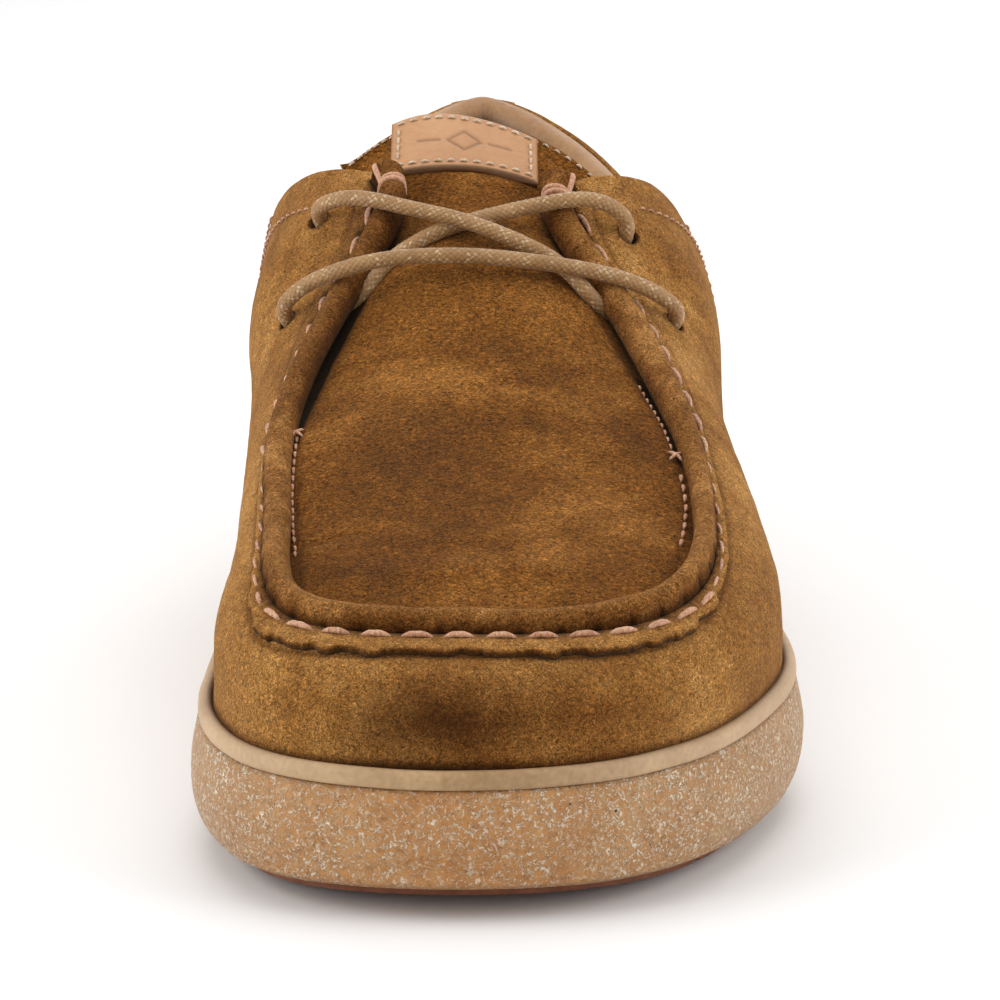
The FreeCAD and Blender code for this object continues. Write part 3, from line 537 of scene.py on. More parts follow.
def tube(name, line, radius, around, material, relief=None, marks=None):
    """A round piece along a line; radius is a number or one per point; relief(angle, along) adds to it."""
    tangent, side, other = frames(line)
    along = np.concatenate([[0.0], np.cumsum(np.linalg.norm(np.diff(line, axis=0), axis=1))])
    angle = np.linspace(0.0, 2.0 * math.pi, around, endpoint=False)
    r = np.broadcast_to(np.asarray(radius, float), along.shape)[:, None] * np.ones(around)[None, :]
    extra = {}
    if relief is not None:
        height, extra = relief(angle[None, :] + 0.0 * along[:, None], along[:, None] + 0.0 * angle[None, :])
        r = r + height
    points = (line[:, None]
              + r[..., None] * (np.cos(angle)[None, :, None] * side[:, None] + np.sin(angle)[None, :, None] * other[:, None]))
    marks = dict(marks or {})
    marks.update(extra)
    return loop_solid(name, points, material, marks=marks)


def stitches(name, places, along, normal, length, width, material, lift=0.45, sink=0.35, rings=9,
             around=8, ply=0.0):
    """Separate stitches as one mesh: each a spindle that dives into the material at both ends."""
    places, along, normal = (np.asarray(a, float) for a in (places, along, normal))
    along = unit(along)
    normal = unit(normal - along * (normal * along).sum(-1, keepdims=True))
    side = np.cross(along, normal)
    x = np.linspace(-1.0, 1.0, rings)
    body = np.maximum(0.0, 1.0 - np.abs(x) ** 2.2) ** 0.65 * 0.85 + 0.15
    body[0] = body[-1] = 0.10
    arch = (1.0 - x ** 2) * lift - sink * np.abs(x) ** 3
    angle = np.linspace(0.0, 2.0 * math.pi, around, endpoint=False)
    size = 1.0 + ply * np.cos(2.0 * angle[None, :] + 9.0 * x[:, None])
    widths = np.broadcast_to(np.asarray(width, float), (len(places),))[:, None, None]
    y = widths * (0.5 * body[:, None] * size * np.cos(angle)[None, :])[None]
    z = widths * (0.5 * body[:, None] * size * np.sin(angle)[None, :] + arch[:, None])[None]
    lengths = np.broadcast_to(np.asarray(length, float), (len(places),))
    points = (places[:, None, None]
              + 0.5 * lengths[:, None, None, None] * along[:, None, None] * x[None, :, None, None])
    points = points + side[:, None, None] * y[..., None] + normal[:, None, None] * z[..., None]
    count = rings * around
    quads = np.concatenate([grid_quads(rings, around, False, True,
                                       i * (count + 2)) for i in range(len(places))])
    ends = np.stack([points[:, 0].mean(1), points[:, -1].mean(1)], 1)
    flat = np.concatenate([points.reshape(len(places), count, 3), ends], 1)
    base = np.arange(len(places)) * (count + 2)
    ring = np.arange(around)
    first = np.stack([np.full(around, count), ring, (ring + 1) % around], -1)
    final = (rings - 1) * around
    last = np.stack([np.full(around, count + 1), final + (ring + 1) % around, final + ring], -1)
    tris = (np.concatenate([first, last])[None] + base[:, None, None]).reshape(-1, 3)
    marks = {"ply": np.tile(np.concatenate([np.repeat(x, around), [-1.0, 1.0]]), len(places)),
             "tone": np.repeat(lattice(np.arange(len(places)), 3, 5, 7), count + 2)}
    return make_mesh(name, flat.reshape(-1, 3), quads, material, tris, marks)


def even_u(first, last, step, function):
    """Places round the shoe that are an even step apart on the given line of the surface."""
    u = np.linspace(first, last, 800)
    line = function(u)
    length = np.concatenate([[0.0], np.cumsum(np.linalg.norm(np.diff(line, axis=0), axis=1))])
    count = max(2, int(round(length[-1] / step)))
    return np.interp((np.arange(count) + 0.5) * length[-1] / count, length, u)


# ---------------------------------------------------------------- materials
class Shade:
    """Builds one procedural material."""

    def __init__(self, name, roughness=0.8, specular=0.4, sheen=0.0, sheen_roughness=0.5, sheen_tint=(1.0, 1.0, 1.0),
                 coat=0.0, coat_roughness=0.3, metallic=0.0):
        self.material = bpy.data.materials.new(name)
        self.material.use_nodes = True
        self.tree = self.material.node_tree
        self.bsdf = self.tree.nodes["Principled BSDF"]
        given = {"Roughness": roughness, "Specular IOR Level": specular, "Sheen Weight": sheen,
                 "Sheen Roughness": sheen_roughness, "Sheen Tint": (*sheen_tint, 1.0), "Coat Weight": coat,
                 "Coat Roughness": coat_roughness, "Metallic": metallic}
        for key, value in given.items():
            self.bsdf.inputs[key].default_value = value
        self.place = self.tree.nodes.new("ShaderNodeTexCoord").outputs["Object"]

    def put(self, socket, value):
        if isinstance(value, bpy.types.NodeSocket):
            self.tree.links.new(value, socket)
        else:
            socket.default_value = value

    def stretch(self, scale, turn=(0.0, 0.0, 0.0)):
        node = self.tree.nodes.new("ShaderNodeMapping")
        self.put(node.inputs["Vector"], self.place)
        node.inputs["Scale"].default_value = scale
        node.inputs["Rotation"].default_value = turn
        return node.outputs["Vector"]

    def noise(self, scale, detail=2.0, rough=0.5, vector=None, distortion=0.0):
        node = self.tree.nodes.new("ShaderNodeTexNoise")
        self.put(node.inputs["Vector"], self.place if vector is None else vector)
        node.inputs["Scale"].default_value = scale
        node.inputs["Detail"].default_value = detail
        node.inputs["Roughness"].default_value = rough
        node.inputs["Distortion"].default_value = distortion
        return node.outputs["Fac"]

    def cells(self, scale, feature="F1", vector=None, randomness=1.0):
        node = self.tree.nodes.new("ShaderNodeTexVoronoi")
        node.feature = feature
        self.put(node.inputs["Vector"], self.place if vector is None else vector)
        node.inputs["Scale"].default_value = scale
        node.inputs["Randomness"].default_value = randomness
        return node.outputs["Distance"]

    def mark(self, name):
        node = self.tree.nodes.new("ShaderNodeAttribute")
        node.attribute_name = name
        return node.outputs["Fac"]

    def calc(self, operation, a, b=0.0, c=None, clamp=False):
        node = self.tree.nodes.new("ShaderNodeMath")
        node.operation = operation
        node.use_clamp = clamp
        self.put(node.inputs[0], a)
        self.put(node.inputs[1], b)
        if c is not None:
            self.put(node.inputs[2], c)
        return node.outputs[0]

    def ramp(self, fac, stops):
        node = self.tree.nodes.new("ShaderNodeValToRGB")
        self.put(node.inputs["Fac"], fac)
        elements = node.color_ramp.elements
        while len(elements) < len(stops):
            elements.new(0.5)
        for element, (position, colour) in zip(elements, stops):
            element.position = position
            element.color = (*colour, 1.0) if hasattr(colour, "__len__") else (colour, colour, colour, 1.0)
        return node.outputs["Color"]

    def mix(self, fac, a, b, kind="MIX"):
        node = self.tree.nodes.new("ShaderNodeMix")
        node.data_type = "RGBA"
        node.blend_type = kind
        node.clamp_factor = True
        colours = [s for s in node.inputs if s.type == "RGBA"]
        self.put(node.inputs[0], fac)
        for socket, value in zip(colours, (a, b)):
            self.put(socket, (*value, 1.0) if isinstance(value, tuple) else value)
        return [s for s in node.outputs if s.type == "RGBA"][0]

    def bump(self, height, distance, strength=1.0, normal=None):
        node = self.tree.nodes.new("ShaderNodeBump")
        node.inputs["Strength"].default_value = strength
        node.inputs["Distance"].default_value = distance
        self.put(node.inputs["Height"], height)
        if normal is not None:
            self.put(node.inputs["Normal"], normal)
        return node.outputs["Normal"]

    def finish(self, colour, normal=None, roughness=None):
        self.put(self.bsdf.inputs["Base Color"], (*colour, 1.0) if isinstance(colour, tuple) else colour)
        if normal is not None:
            self.put(self.bsdf.inputs["Normal"], normal)
        if roughness is not None:
            self.put(self.bsdf.inputs["Roughness"], roughness)
        return self.material


def rgb(r, g, b):
    """Linear colour from 0 to 255 screen values."""
    def one(c):
        c = c / 255.0
        return c / 12.92 if c <= 0.04045 else ((c + 0.055) / 1.055) ** 2.4
    return (one(r), one(g), one(b))


def suede(name, dark, middle, light, nap=(1.0, 1.0, 1.0), curl=1.4, fuzz=0.0004, glow=0.08, pile=1.0,
          brush=0.34):
    """Napped suede: mottled patches and a pile of short fibres with dark dots between them."""
    s = Shade(name, roughness=0.95, specular=0.03, sheen=glow, sheen_roughness=0.5,
              sheen_tint=(1.0, 0.78, 0.52))
    patches = s.noise(30.0, 4.0, 0.55, distortion=0.5)
    brushed = s.noise(210.0, 3.0, 0.6)
    fibres = s.noise(1450.0 / pile, 2.5, 0.7, vector=s.stretch(nap), distortion=curl)
    grains = s.noise(2900.0 / pile, 1.5, 0.5, vector=s.stretch(nap), distortion=curl)
    tone = s.calc("MULTIPLY_ADD", patches, 1.0 - brush, s.calc("MULTIPLY", brushed, brush))
    colour = s.ramp(tone, ((0.38, dark), (0.5, middle), (0.62, light)))
    speckle = s.ramp(fibres, ((0.30, 0.28), (0.42, 0.68), (0.50, 0.98), (0.58, 1.40), (0.70, 2.1)))
    speckle = s.mix(1.0, speckle, s.ramp(grains, ((0.30, 0.55), (0.50, 1.0), (0.70, 1.55))), "MULTIPLY")
    colour = s.mix(1.0, colour, speckle, "MULTIPLY")
    # The light mark is painted highlight: where a piece sets it, the colour is mixed towards the light tone.
    painted_highlight = s.calc("MAXIMUM", s.mark("light"), 0.0)
    colour = s.mix(s.calc("MULTIPLY", painted_highlight, 0.6), colour, s.mix(1.0, light, speckle, "MULTIPLY"))
    # The dark mark darkens the colour, almost to black at full strength: painted shade where pieces set it, and on
    # the seam's raw edge partly that edge's own dark colour.
    shaded = s.calc("MINIMUM", s.mark("dark"), 1.0)
    colour = s.mix(1.0, colour, s.ramp(shaded, ((0.0, (1.0, 1.0, 1.0)), (1.0, (0.50, 0.36, 0.27)))), "MULTIPLY")
    colour = s.mix(s.calc("MULTIPLY", shaded, shaded), colour, tuple(0.08 * c for c in dark))
    height = s.calc("MULTIPLY_ADD", fibres, 0.7, s.calc("MULTIPLY", grains, 0.3))
    return s.finish(colour, s.bump(height, fuzz, 1.0, s.bump(brushed, 0.0004, 0.4)))


def leather(name, dark, light, roughness=0.5, grain=1400.0, depth=0.00008, specular=0.4, sheen=0.0):
    """Smooth leather with a fine pebbled grain."""
    s = Shade(name, roughness=roughness, specular=specular, sheen=sheen)
    patches = s.noise(60.0, 4.0, 0.6)
    fine = s.noise(700.0, 3.0, 0.6)
    tone = s.calc("MULTIPLY_ADD", patches, 0.6, s.calc("MULTIPLY", fine, 0.4))
    colour = s.ramp(tone, ((0.3, dark), (0.7, light)))
    # The dark mark: painted shade on the collar; on the label, its darker edges and pressed mark.
    colour = s.mix(s.calc("MINIMUM", s.mark("dark"), 1.0), colour, tuple(0.2 * c for c in dark))
    pebbles = s.cells(grain, "SMOOTH_F1")
    rough = s.calc("MULTIPLY_ADD", fine, 0.2, roughness - 0.1)
    return s.finish(colour, s.bump(s.calc("MULTIPLY_ADD", fine, 0.5, pebbles), depth, 1.0), rough)


suede_wall = suede("suede_wall", rgb(122, 78, 34), rgb(146, 100, 48), rgb(168, 122, 66), glow=0.12, pile=0.82)
# suede_apron is the same suede as the walls, given darker colours partly as painted shade, since the top of the apron
# gets less of the side lamps' light than the walls.
suede_apron = suede("suede_apron", rgb(84, 48, 15), rgb(105, 63, 20), rgb(134, 87, 37), nap=(0.8, 1.0, 1.0), curl=1.0,
                    fuzz=0.0003, pile=0.87, brush=0.24)
suede_roll = suede("suede_roll", rgb(92, 56, 22), rgb(116, 74, 33), rgb(154, 108, 58), fuzz=0.0003, pile=0.85)
lining = leather("lining_leather", rgb(158, 118, 80), rgb(190, 152, 112), 0.55)
collar_leather = leather("collar_leather", rgb(138, 98, 62), rgb(172, 132, 92), 0.5, grain=900.0)
label_leather = leather("label_leather", rgb(172, 122, 80), rgb(194, 146, 102), 0.5, grain=1800.0)
footbed_leather = leather("footbed_leather", rgb(140, 102, 66), rgb(170, 132, 92), 0.6, grain=1100.0)


def make_thread(name, dark, middle, light):
    s = Shade(name, roughness=0.5, specular=0.45, sheen=0.1)
    fibres = s.noise(2600.0, 3.0, 0.6, vector=s.stretch((1.0, 1.0, 0.5)))
    tone = s.calc("MULTIPLY_ADD", s.mark("tone"), 0.08, fibres)
    colour = s.ramp(tone, ((0.25, dark), (0.5, middle), (0.75, light)))
    ply = s.calc("SINE", s.calc("MULTIPLY", s.mark("ply"), 16.0))
    # Painted shade at both ends of each stitch, where it dives into its hole.
    ends = s.calc("POWER", s.calc("ABSOLUTE", s.mark("ply")), 8.0)
    colour = s.mix(s.calc("MULTIPLY", ends, 0.8), colour, rgb(66, 38, 22))
    height = s.calc("MULTIPLY_ADD", ply, 0.3, fibres)
    return s.finish(colour, s.bump(height, 0.00012, 1.0))


def make_lace_material():
    s = Shade("lace_cotton", roughness=0.5, specular=0.4, sheen=0.15, sheen_roughness=0.4)
    fibres = s.noise(3000.0, 3.0, 0.7)
    patches = s.noise(160.0, 2.0, 0.5)
    tone = s.calc("MULTIPLY_ADD", patches, 0.4, s.calc("MULTIPLY", fibres, 0.6))
    colour = s.ramp(tone, ((0.3, rgb(130, 94, 54)), (0.5, rgb(160, 120, 74)), (0.7, rgb(182, 144, 96))))
    # Painted glints: paler colour on the crowns of the strands, in patches.
    painted_highlight = s.ramp(s.noise(420.0, 2.0), ((0.42, 0.12), (0.62, 0.75)))
    colour = s.mix(s.calc("MULTIPLY", s.calc("MAXIMUM", s.mark("crown"), 0.0), painted_highlight), colour,
                   rgb(216, 192, 156))
    # Painted shade in the hollows between the strands.
    deep = s.calc("MINIMUM", s.mark("dark"), 1.0)
    colour = s.mix(deep, colour, rgb(72, 48, 28))
    return s.finish(colour, s.bump(fibres, 0.00010, 1.0))


def make_gum():
    """Honey-coloured rubber full of short pale worm-like wrinkles, and a few dark pits."""
    s = Shade("gum_rubber", roughness=0.5, specular=0.25)
    s.bsdf.inputs["Subsurface Weight"].default_value = 0.1
    s.bsdf.inputs["Subsurface Radius"].default_value = (0.004, 0.0022, 0.001)
    s.bsdf.inputs["Subsurface Scale"].default_value = 1.0
    big = s.noise(40.0, 4.0, 0.6)
    small = s.noise(330.0, 4.0, 0.65)
    tone = s.calc("MULTIPLY_ADD", big, 0.5, s.calc("MULTIPLY", small, 0.5))
    colour = s.ramp(tone, ((0.34, rgb(168, 110, 56)), (0.5, rgb(192, 134, 76)), (0.66, rgb(206, 154, 98))))
    # The pale mark is how far a place faces sideways; it sets the painted sheen on the sides below.
    sides = s.calc("MAXIMUM", s.mark("pale"), 0.0)

    def worms(scale, width, seed_turn):
        turned = s.stretch((1.0, 1.0, 1.0), (seed_turn, 0.4, 0.0))
        lines = s.calc("ABSOLUTE",
                       s.calc("SUBTRACT", s.noise(scale, 1.5, 0.5, vector=turned, distortion=0.6), 0.5))
        lines = s.ramp(lines, ((0.4 * width, 1.0), (width, 0.0)))
        broken = s.ramp(s.noise(scale * 1.3, 1.0, 0.5, vector=s.stretch((1.0, 1.0, 1.0), (0.0, seed_turn, 1.0))),
                        ((0.50, 0.0), (0.58, 1.0)))
        return s.mix(1.0, lines, broken, "MULTIPLY")

    where = s.ramp(s.noise(110.0, 3.0, 0.6), ((0.36, 0.45), (0.6, 1.0)))
    flecks = s.mix(1.0, s.mix(1.0, worms(780.0, 0.055, 0.3), worms(1150.0, 0.062, 1.1), "LIGHTEN"),
                   where, "MULTIPLY")
    haze = s.ramp(s.noise(760.0, 4.0, 0.75), ((0.46, 0.0), (0.62, 1.0)))
    # Painted sheen: places that face sideways are mixed paler and get more of the pale haze and flecks; the haze and
    # flecks themselves belong to the rubber.
    colour = s.mix(s.calc("MULTIPLY", sides, 0.6), colour, rgb(152, 120, 86))
    colour = s.mix(s.calc("MULTIPLY", haze, s.calc("MULTIPLY_ADD", sides, 0.2, 0.24), clamp=True),
                   colour, rgb(200, 168, 128))
    sunk = s.ramp(s.noise(880.0, 3.0, 0.7), ((0.30, 0.62), (0.48, 1.0)))
    colour = s.mix(1.0, colour, sunk, "MULTIPLY")
    colour = s.mix(s.calc("MULTIPLY", flecks, s.calc("MULTIPLY_ADD", sides, 0.1, 0.85), clamp=True),
                   colour, rgb(238, 224, 202))
    pits = s.ramp(s.cells(120.0), ((0.030, 1.0), (0.050, 0.0)))
    colour = s.mix(pits, colour, rgb(70, 40, 22))
    # Painted shade in the groove under the rim band and at the foot of the wall.
    colour = s.mix(s.calc("MINIMUM", s.mark("dark"), 1.0), colour, rgb(104, 68, 42))
    height = s.calc("MULTIPLY_ADD", flecks, 0.5, s.calc("MULTIPLY_ADD", haze, 0.35, small))
    return s.finish(colour, s.bump(height, 0.0005, 1.0))


def make_rim_rubber():
    s = Shade("rim_rubber", roughness=0.6, specular=0.35)
    tone = s.calc("MULTIPLY_ADD", s.noise(60.0, 4.0, 0.6), 0.6, s.calc("MULTIPLY", s.noise(900.0, 3.0), 0.4))
    colour = s.ramp(tone, ((0.34, rgb(152, 118, 80)), (0.66, rgb(190, 156, 116))))
    # Painted sheen on the sides that face sideways, and painted shade where the band meets the upper and the sole.
    colour = s.mix(s.calc("MULTIPLY", s.calc("MAXIMUM", s.mark("pale"), 0.0), 0.45), colour, rgb(196, 172, 144))
    colour = s.mix(s.calc("MINIMUM", s.mark("dark"), 1.0), colour, rgb(96, 66, 42))
    return s.finish(colour, s.bump(s.noise(1200.0, 3.0), 0.00008, 1.0))


def plain(name, dark, light, roughness, scale=500.0, depth=0.0001, metallic=0.0, specular=0.4,
          stretch=(1.0, 1.0, 1.0)):
    s = Shade(name, roughness=roughness, specular=specular, metallic=metallic)
    vector = s.stretch(stretch)
    grain = s.noise(scale, 4.0, 0.6, vector=vector)
    colour = s.ramp(grain, ((0.3, dark), (0.7, light)))
    return s.finish(colour, s.bump(grain, depth, 1.0))


thread = make_thread("thread", rgb(142, 92, 64), rgb(192, 140, 106), rgb(224, 182, 148))
pale_thread = make_thread("pale_thread", rgb(160, 132, 104), rgb(208, 184, 154), rgb(232, 214, 188))
lace_cotton = make_lace_material()
gum = make_gum()
rim_rubber = make_rim_rubber()
tread_rubber = plain("tread_rubber", rgb(108, 62, 40), rgb(138, 84, 56), 0.7, 300.0, 0.00015)
foam = plain("foam", rgb(206, 198, 182), rgb(228, 220, 206), 0.9, 900.0, 0.0004)
board = plain("board", rgb(168, 146, 112), rgb(198, 176, 140), 0.85, 700.0, 0.0002, stretch=(1.0, 0.3, 1.0))
steel = plain("steel", rgb(168, 168, 170), rgb(196, 196, 198), 0.35, 600.0, 0.00003, metallic=1.0,
              stretch=(4.0, 0.2, 1.0))
aglet_film = plain("aglet_film", rgb(92, 62, 38), rgb(126, 90, 58), 0.25, 300.0, 0.00002, specular=0.6)


def dress(node, material):
    """A carried-over CAD node gets its material."""
    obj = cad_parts[node]
    for i in range(len(obj.material_slots)):
        obj.material_slots[i].material = material
    if not obj.material_slots:
        obj.data.materials.append(material)


def done(piece, slot, *nodes, body=SHOE):
    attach(piece, body)
    if nodes:
        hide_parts(*nodes)
    return piece


# ---------------------------------------------------------------- lace
def braid(angle, along):
    """Two sets of strands crossing over and under each other."""
    a = angle * 8.0 / (2.0 * math.pi) + along / 1.35
    b = angle * 8.0 / (2.0 * math.pi) - along / 1.35
    fa, fb = a - np.floor(a), b - np.floor(b)
    over = (np.floor(a).astype(int) + np.floor(b).astype(int)) % 2 == 0
    one = np.sin(math.pi * fa) ** 0.7 * (0.55 + 0.45 * np.sin(math.pi * fb))
    two = np.sin(math.pi * fb) ** 0.7 * (0.55 + 0.45 * np.sin(math.pi * fa))
    height = np.where(over, one, two)
    chance = lattice(np.floor(a).astype(int), np.floor(b).astype(int), 3, 17)
    strand = np.where(over, fa, fb)
    crown = ease((0.30 - np.abs(strand - 0.45)) / 0.2) * ease((height - 0.45) / 0.2) * (chance > 0.25)
    # dark: painted shade in the hollows between strands; crown: where the painted glints go.
    return 0.18 * height - 0.1, {"dark": np.clip(0.5 - 0.9 * height, 0.0, 0.6), "crown": crown}


def lace_piece(name, points, node):
    line, _ = even(smooth_line(points), 0.17)
    return done(tube(name, line, 1.5, 48, lace_cotton, braid), "lace_cotton", node), line


lace_held, lace_line = lace_piece("lace_laced", LACE, "lace")
for side, points in (("medial", TAIL_MEDIAL), ("lateral", TAIL_LATERAL)):
    tail, line = lace_piece("lace_end_" + side, points, "lace_tail_" + side)
    dress("aglet_" + side, aglet_film)


# ---------------------------------------------------------------- sole
WALL_PROFILE = Curve((0.0, 0.08, 0.2, 0.42, 0.65, 0.88, 1.0),
                     ((-4.2,), (-1.2,), (1.5,), (3.4,), (3.7,), (2.8,), (2.3,)))
BAND = 3.3
TREAD = 2.2


def make_sole():
    u = np.linspace(0.0, ROUND, 900, endpoint=False)
    foot = outline(u, 0.0 * u)
    back = foot[:, 1] + 151.0
    low = ground(back) + TREAD
    high = rim_top(back) - BAND
    bottom = ground(back)
    part = np.concatenate([np.linspace(0.0, 0.1, 7)[:-1], np.linspace(0.1, 0.93, 34)[:-1],
                           np.linspace(0.93, 1.0, 8)])
    z = low[:, None] + (high - low)[:, None] * part[None, :]
    share = (z - bottom[:, None]) / (high - bottom)[:, None]
    out = WALL_PROFILE(share)[..., 0] * 3.8 / 3.7
    toe = np.maximum(0.0, 1.0 - back / 30.0)[:, None] * np.maximum(0.0, 1.0 - share / 0.3)
    out = out + 5.0 * toe
    # soft corner under the wall, and the groove below the rim band
    out = out - 1.1 * np.exp(-((z - low[:, None]) / 0.7) ** 2)
    out = out - 0.45 * np.exp(-((high[:, None] - z) / 0.5) ** 2)
    places = outline(np.repeat(u, len(part)).reshape(len(u), -1), out)
    places[..., 2] = z
    ripple = 0.16 * layered(places * np.array([1.0, 1.0, 1.6]), 9.0, 31) + 0.05 * layered(places, 2.4, 35)
    centre = np.stack([0.0 * back, np.clip(foot[:, 1], -112.0, 112.0), 0.0 * back], -1)
    outward = unit(places - centre[:, None])
    places = places + outward * ripple[..., None]
    # underside to the middle of the sole, and the inside of the cup
    spine = np.stack([-3.0 + 0.0 * back, np.clip(foot[:, 1], -100.0, 106.0), 0.0 * back], -1)
    edge = places[:, 0]
    under = []
    for k in np.linspace(0.0, 1.0, 8)[1:]:
        row = edge * (1.0 - k) + spine * k
        row[:, 2] = ground(row[:, 1] + 151.0) + TREAD
        under.append(row)
    top_in = outline(u, 0.25 + 0.0 * u)
    top_in[:, 2] = high
    down_in = outline(u, 0.25 + 0.0 * u)
    down_in[:, 2] = cup_floor(back)
    floor = []
    for k in (0.5, 1.0):
        row = down_in * (1.0 - k) + spine * k
        row[:, 2] = cup_floor(row[:, 1] + 151.0)
        floor.append(row)
    section = np.concatenate([np.stack(under[::-1], 1), places, top_in[:, None], down_in[:, None],
                              np.stack(floor, 1)], 1)
    # pale: how far each place faces sideways, for the painted sheen on the sides; dark: painted shade in the groove
    # under the rim band and at the foot of the wall.
    pale = np.zeros(section.shape[:2])
    sideways = np.abs(np.gradient(foot[:, 1]) / np.hypot(np.gradient(foot[:, 0]), np.gradient(foot[:, 1])))
    pale[:] = sideways[:, None]
    dark = np.zeros_like(pale)
    first = len(under)
    dark[:, first:first + len(part)] = (0.35 * np.exp(-((high[:, None] - z) / 0.35) ** 2)
                                        + 0.3 * np.exp(-((z - low[:, None]) / 1.0) ** 2))
    sole = loop_solid("outsole_gum", section, gum, close_rows=True, marks={"pale": pale, "dark": dark})
    return done(sole, "gum_rubber", "outsole")


def make_rim():
    u = np.linspace(0.0, ROUND, 1000, endpoint=False)
    back = outline(u, 0.0 * u)[:, 1] + 151.0
    top = rim_top(back)
    corner = np.array(((-0.3, -0.5), (0.2, -0.1), (0.8, 0.05), (1.4, 0.0), (1.9, -0.25), (2.2, -0.7), (2.35, -1.2),
                       (2.4, -1.8), (2.4, -2.5), (2.3, -3.0), (2.0, -3.25), (1.0, -3.3), (-0.3, -3.3)))
    places = outline(np.repeat(u, len(corner)).reshape(len(u), -1),
                     np.broadcast_to(corner[:, 0], (len(u), len(corner))))
    places[..., 2] = top[:, None] + corner[None, :, 1]
    places[..., 2] += 0.12 * noise(places * np.array([1.0, 1.0, 0.0]), 13.0, 41)
    swell = 0.07 * noise(places, 7.0, 43)
    centre = np.stack([0.0 * back, np.clip(back - 151.0, -112.0, 112.0), 0.0 * back], -1)[:, None]
    sideways = places - centre
    sideways[..., 2] = 0.0
    places = places + unit(sideways) * swell[..., None]
    # Painted shade on the top inner edge, where the upper sits, and along the underside, where the band meets the
    # sole; pale sets the painted sheen on the sides that face sideways.
    dark = np.zeros(places.shape[:2])
    dark[:, 0] = 1.0
    dark[:, 1] = 0.8
    dark[:, 2] = 0.2
    dark[:, -4:] = (0.05, 0.12, 0.6, 1.0)
    foot = outline(u, 0.0 * u)
    pale = np.abs(np.gradient(foot[:, 1]) / np.hypot(np.gradient(foot[:, 0]), np.gradient(foot[:, 1])))
    marks = {"dark": dark, "pale": pale[:, None] + 0.0 * dark}
    return done(loop_solid("rim_band", places, rim_rubber, close_rows=True, marks=marks), "rim_rubber",
                "sole_rim")


make_sole()
make_rim()


# ---------------------------------------------------------------- upper
SUEDE = 1.8
SEAM_INNER, SEAM_OUTER = knot(11.0), knot(19.0)
RIDGE_START, RIDGE_END = knot(21.8) - ROUND, knot(8.36)
# The seam, from the outer lace stay round the toe to the inner one: half width of the roll, how far
# it is set in from the edge of the upper, and how far down the raw edge reaches.
SEAM_OUTER_STAY = ((21.8, 3.3, 0.5, 5.0), (23.0, 3.2, 0.2, 5.3), (24.0, 3.2, 0.0, 5.8), (25.0, 2.75, 0.2, 3.5),
                   (26.0, 2.3, 0.2, 3.0), (26.8, 2.4, 0.3, 3.3), (27.6, 2.6, 0.5, 4.6), (28.3, 2.8, 0.3, 6.4), (29.0, 2.95, 0.1, 7.4))
SEAM_INNER_STAY = ((0.3, 2.95, 0.0, 7.5), (1.2, 2.95, 0.1, 7.7), (1.8, 2.9, 0.4, 7.8), (2.3, 2.85, 0.8, 7.0), (2.65, 2.8, 1.2, 4.6),
                   (3.0, 2.8, 1.6, 2.6), (4.0, 2.75, 2.1, 1.6), (5.0, 2.85, 0.0, 3.7),
                   (6.0, 2.5, -0.8, 6.2), (7.0, 3.0, 0.5, 6.0),
                   (8.25, 3.0, 0.7, 5.2))
SEAM = Curve([knot(row[0]) - ROUND for row in SEAM_OUTER_STAY] + [knot(row[0]) for row in SEAM_INNER_STAY],
             [row[1:] for row in SEAM_OUTER_STAY + SEAM_INNER_STAY])


def toe_share(u):
    """1 round the toe, falling to 0 on the sides."""
    return ease(1.0 - (np.abs(from_edge(u, 0.0 * u)[:, 1] + 125.0) - 14.0) / 36.0)


def relief(points):
    """Gentle unevenness of the hand-worked suede."""
    return 0.22 * layered(points, 15.0, 51) + 0.07 * layered(points, 4.0, 57)


def fold(points, place, along, width, length, height):
    """One soft ridge or crease (negative height) of the leather."""
    d = points - np.asarray(place, float)
    along = unit(np.asarray(along, float))
    t = (d * along).sum(-1)
    r = np.linalg.norm(d - t[..., None] * along, axis=-1)
    return height * np.exp(-(r / width) ** 2) * np.exp(-(t / length) ** 2)


FLEX_FOLDS = (
    ((50.5, -52.0, 50.0), (0.15, 1.0, 0.55), 1.3, 9.0, -0.5),
    ((50.0, -49.0, 54.0), (0.10, 1.0, 0.30), 1.2, 8.0, 0.35),
    ((49.0, -44.0, 57.0), (0.10, 1.0, 0.15), 1.4, 10.0, -0.45),
    ((-50.0, -40.0, 52.0), (0.0, 1.0, 0.35), 1.6, 11.0, -0.4),
    ((-49.5, -30.0, 58.0), (0.0, 1.0, 0.2), 1.6, 12.0, -0.35),
)


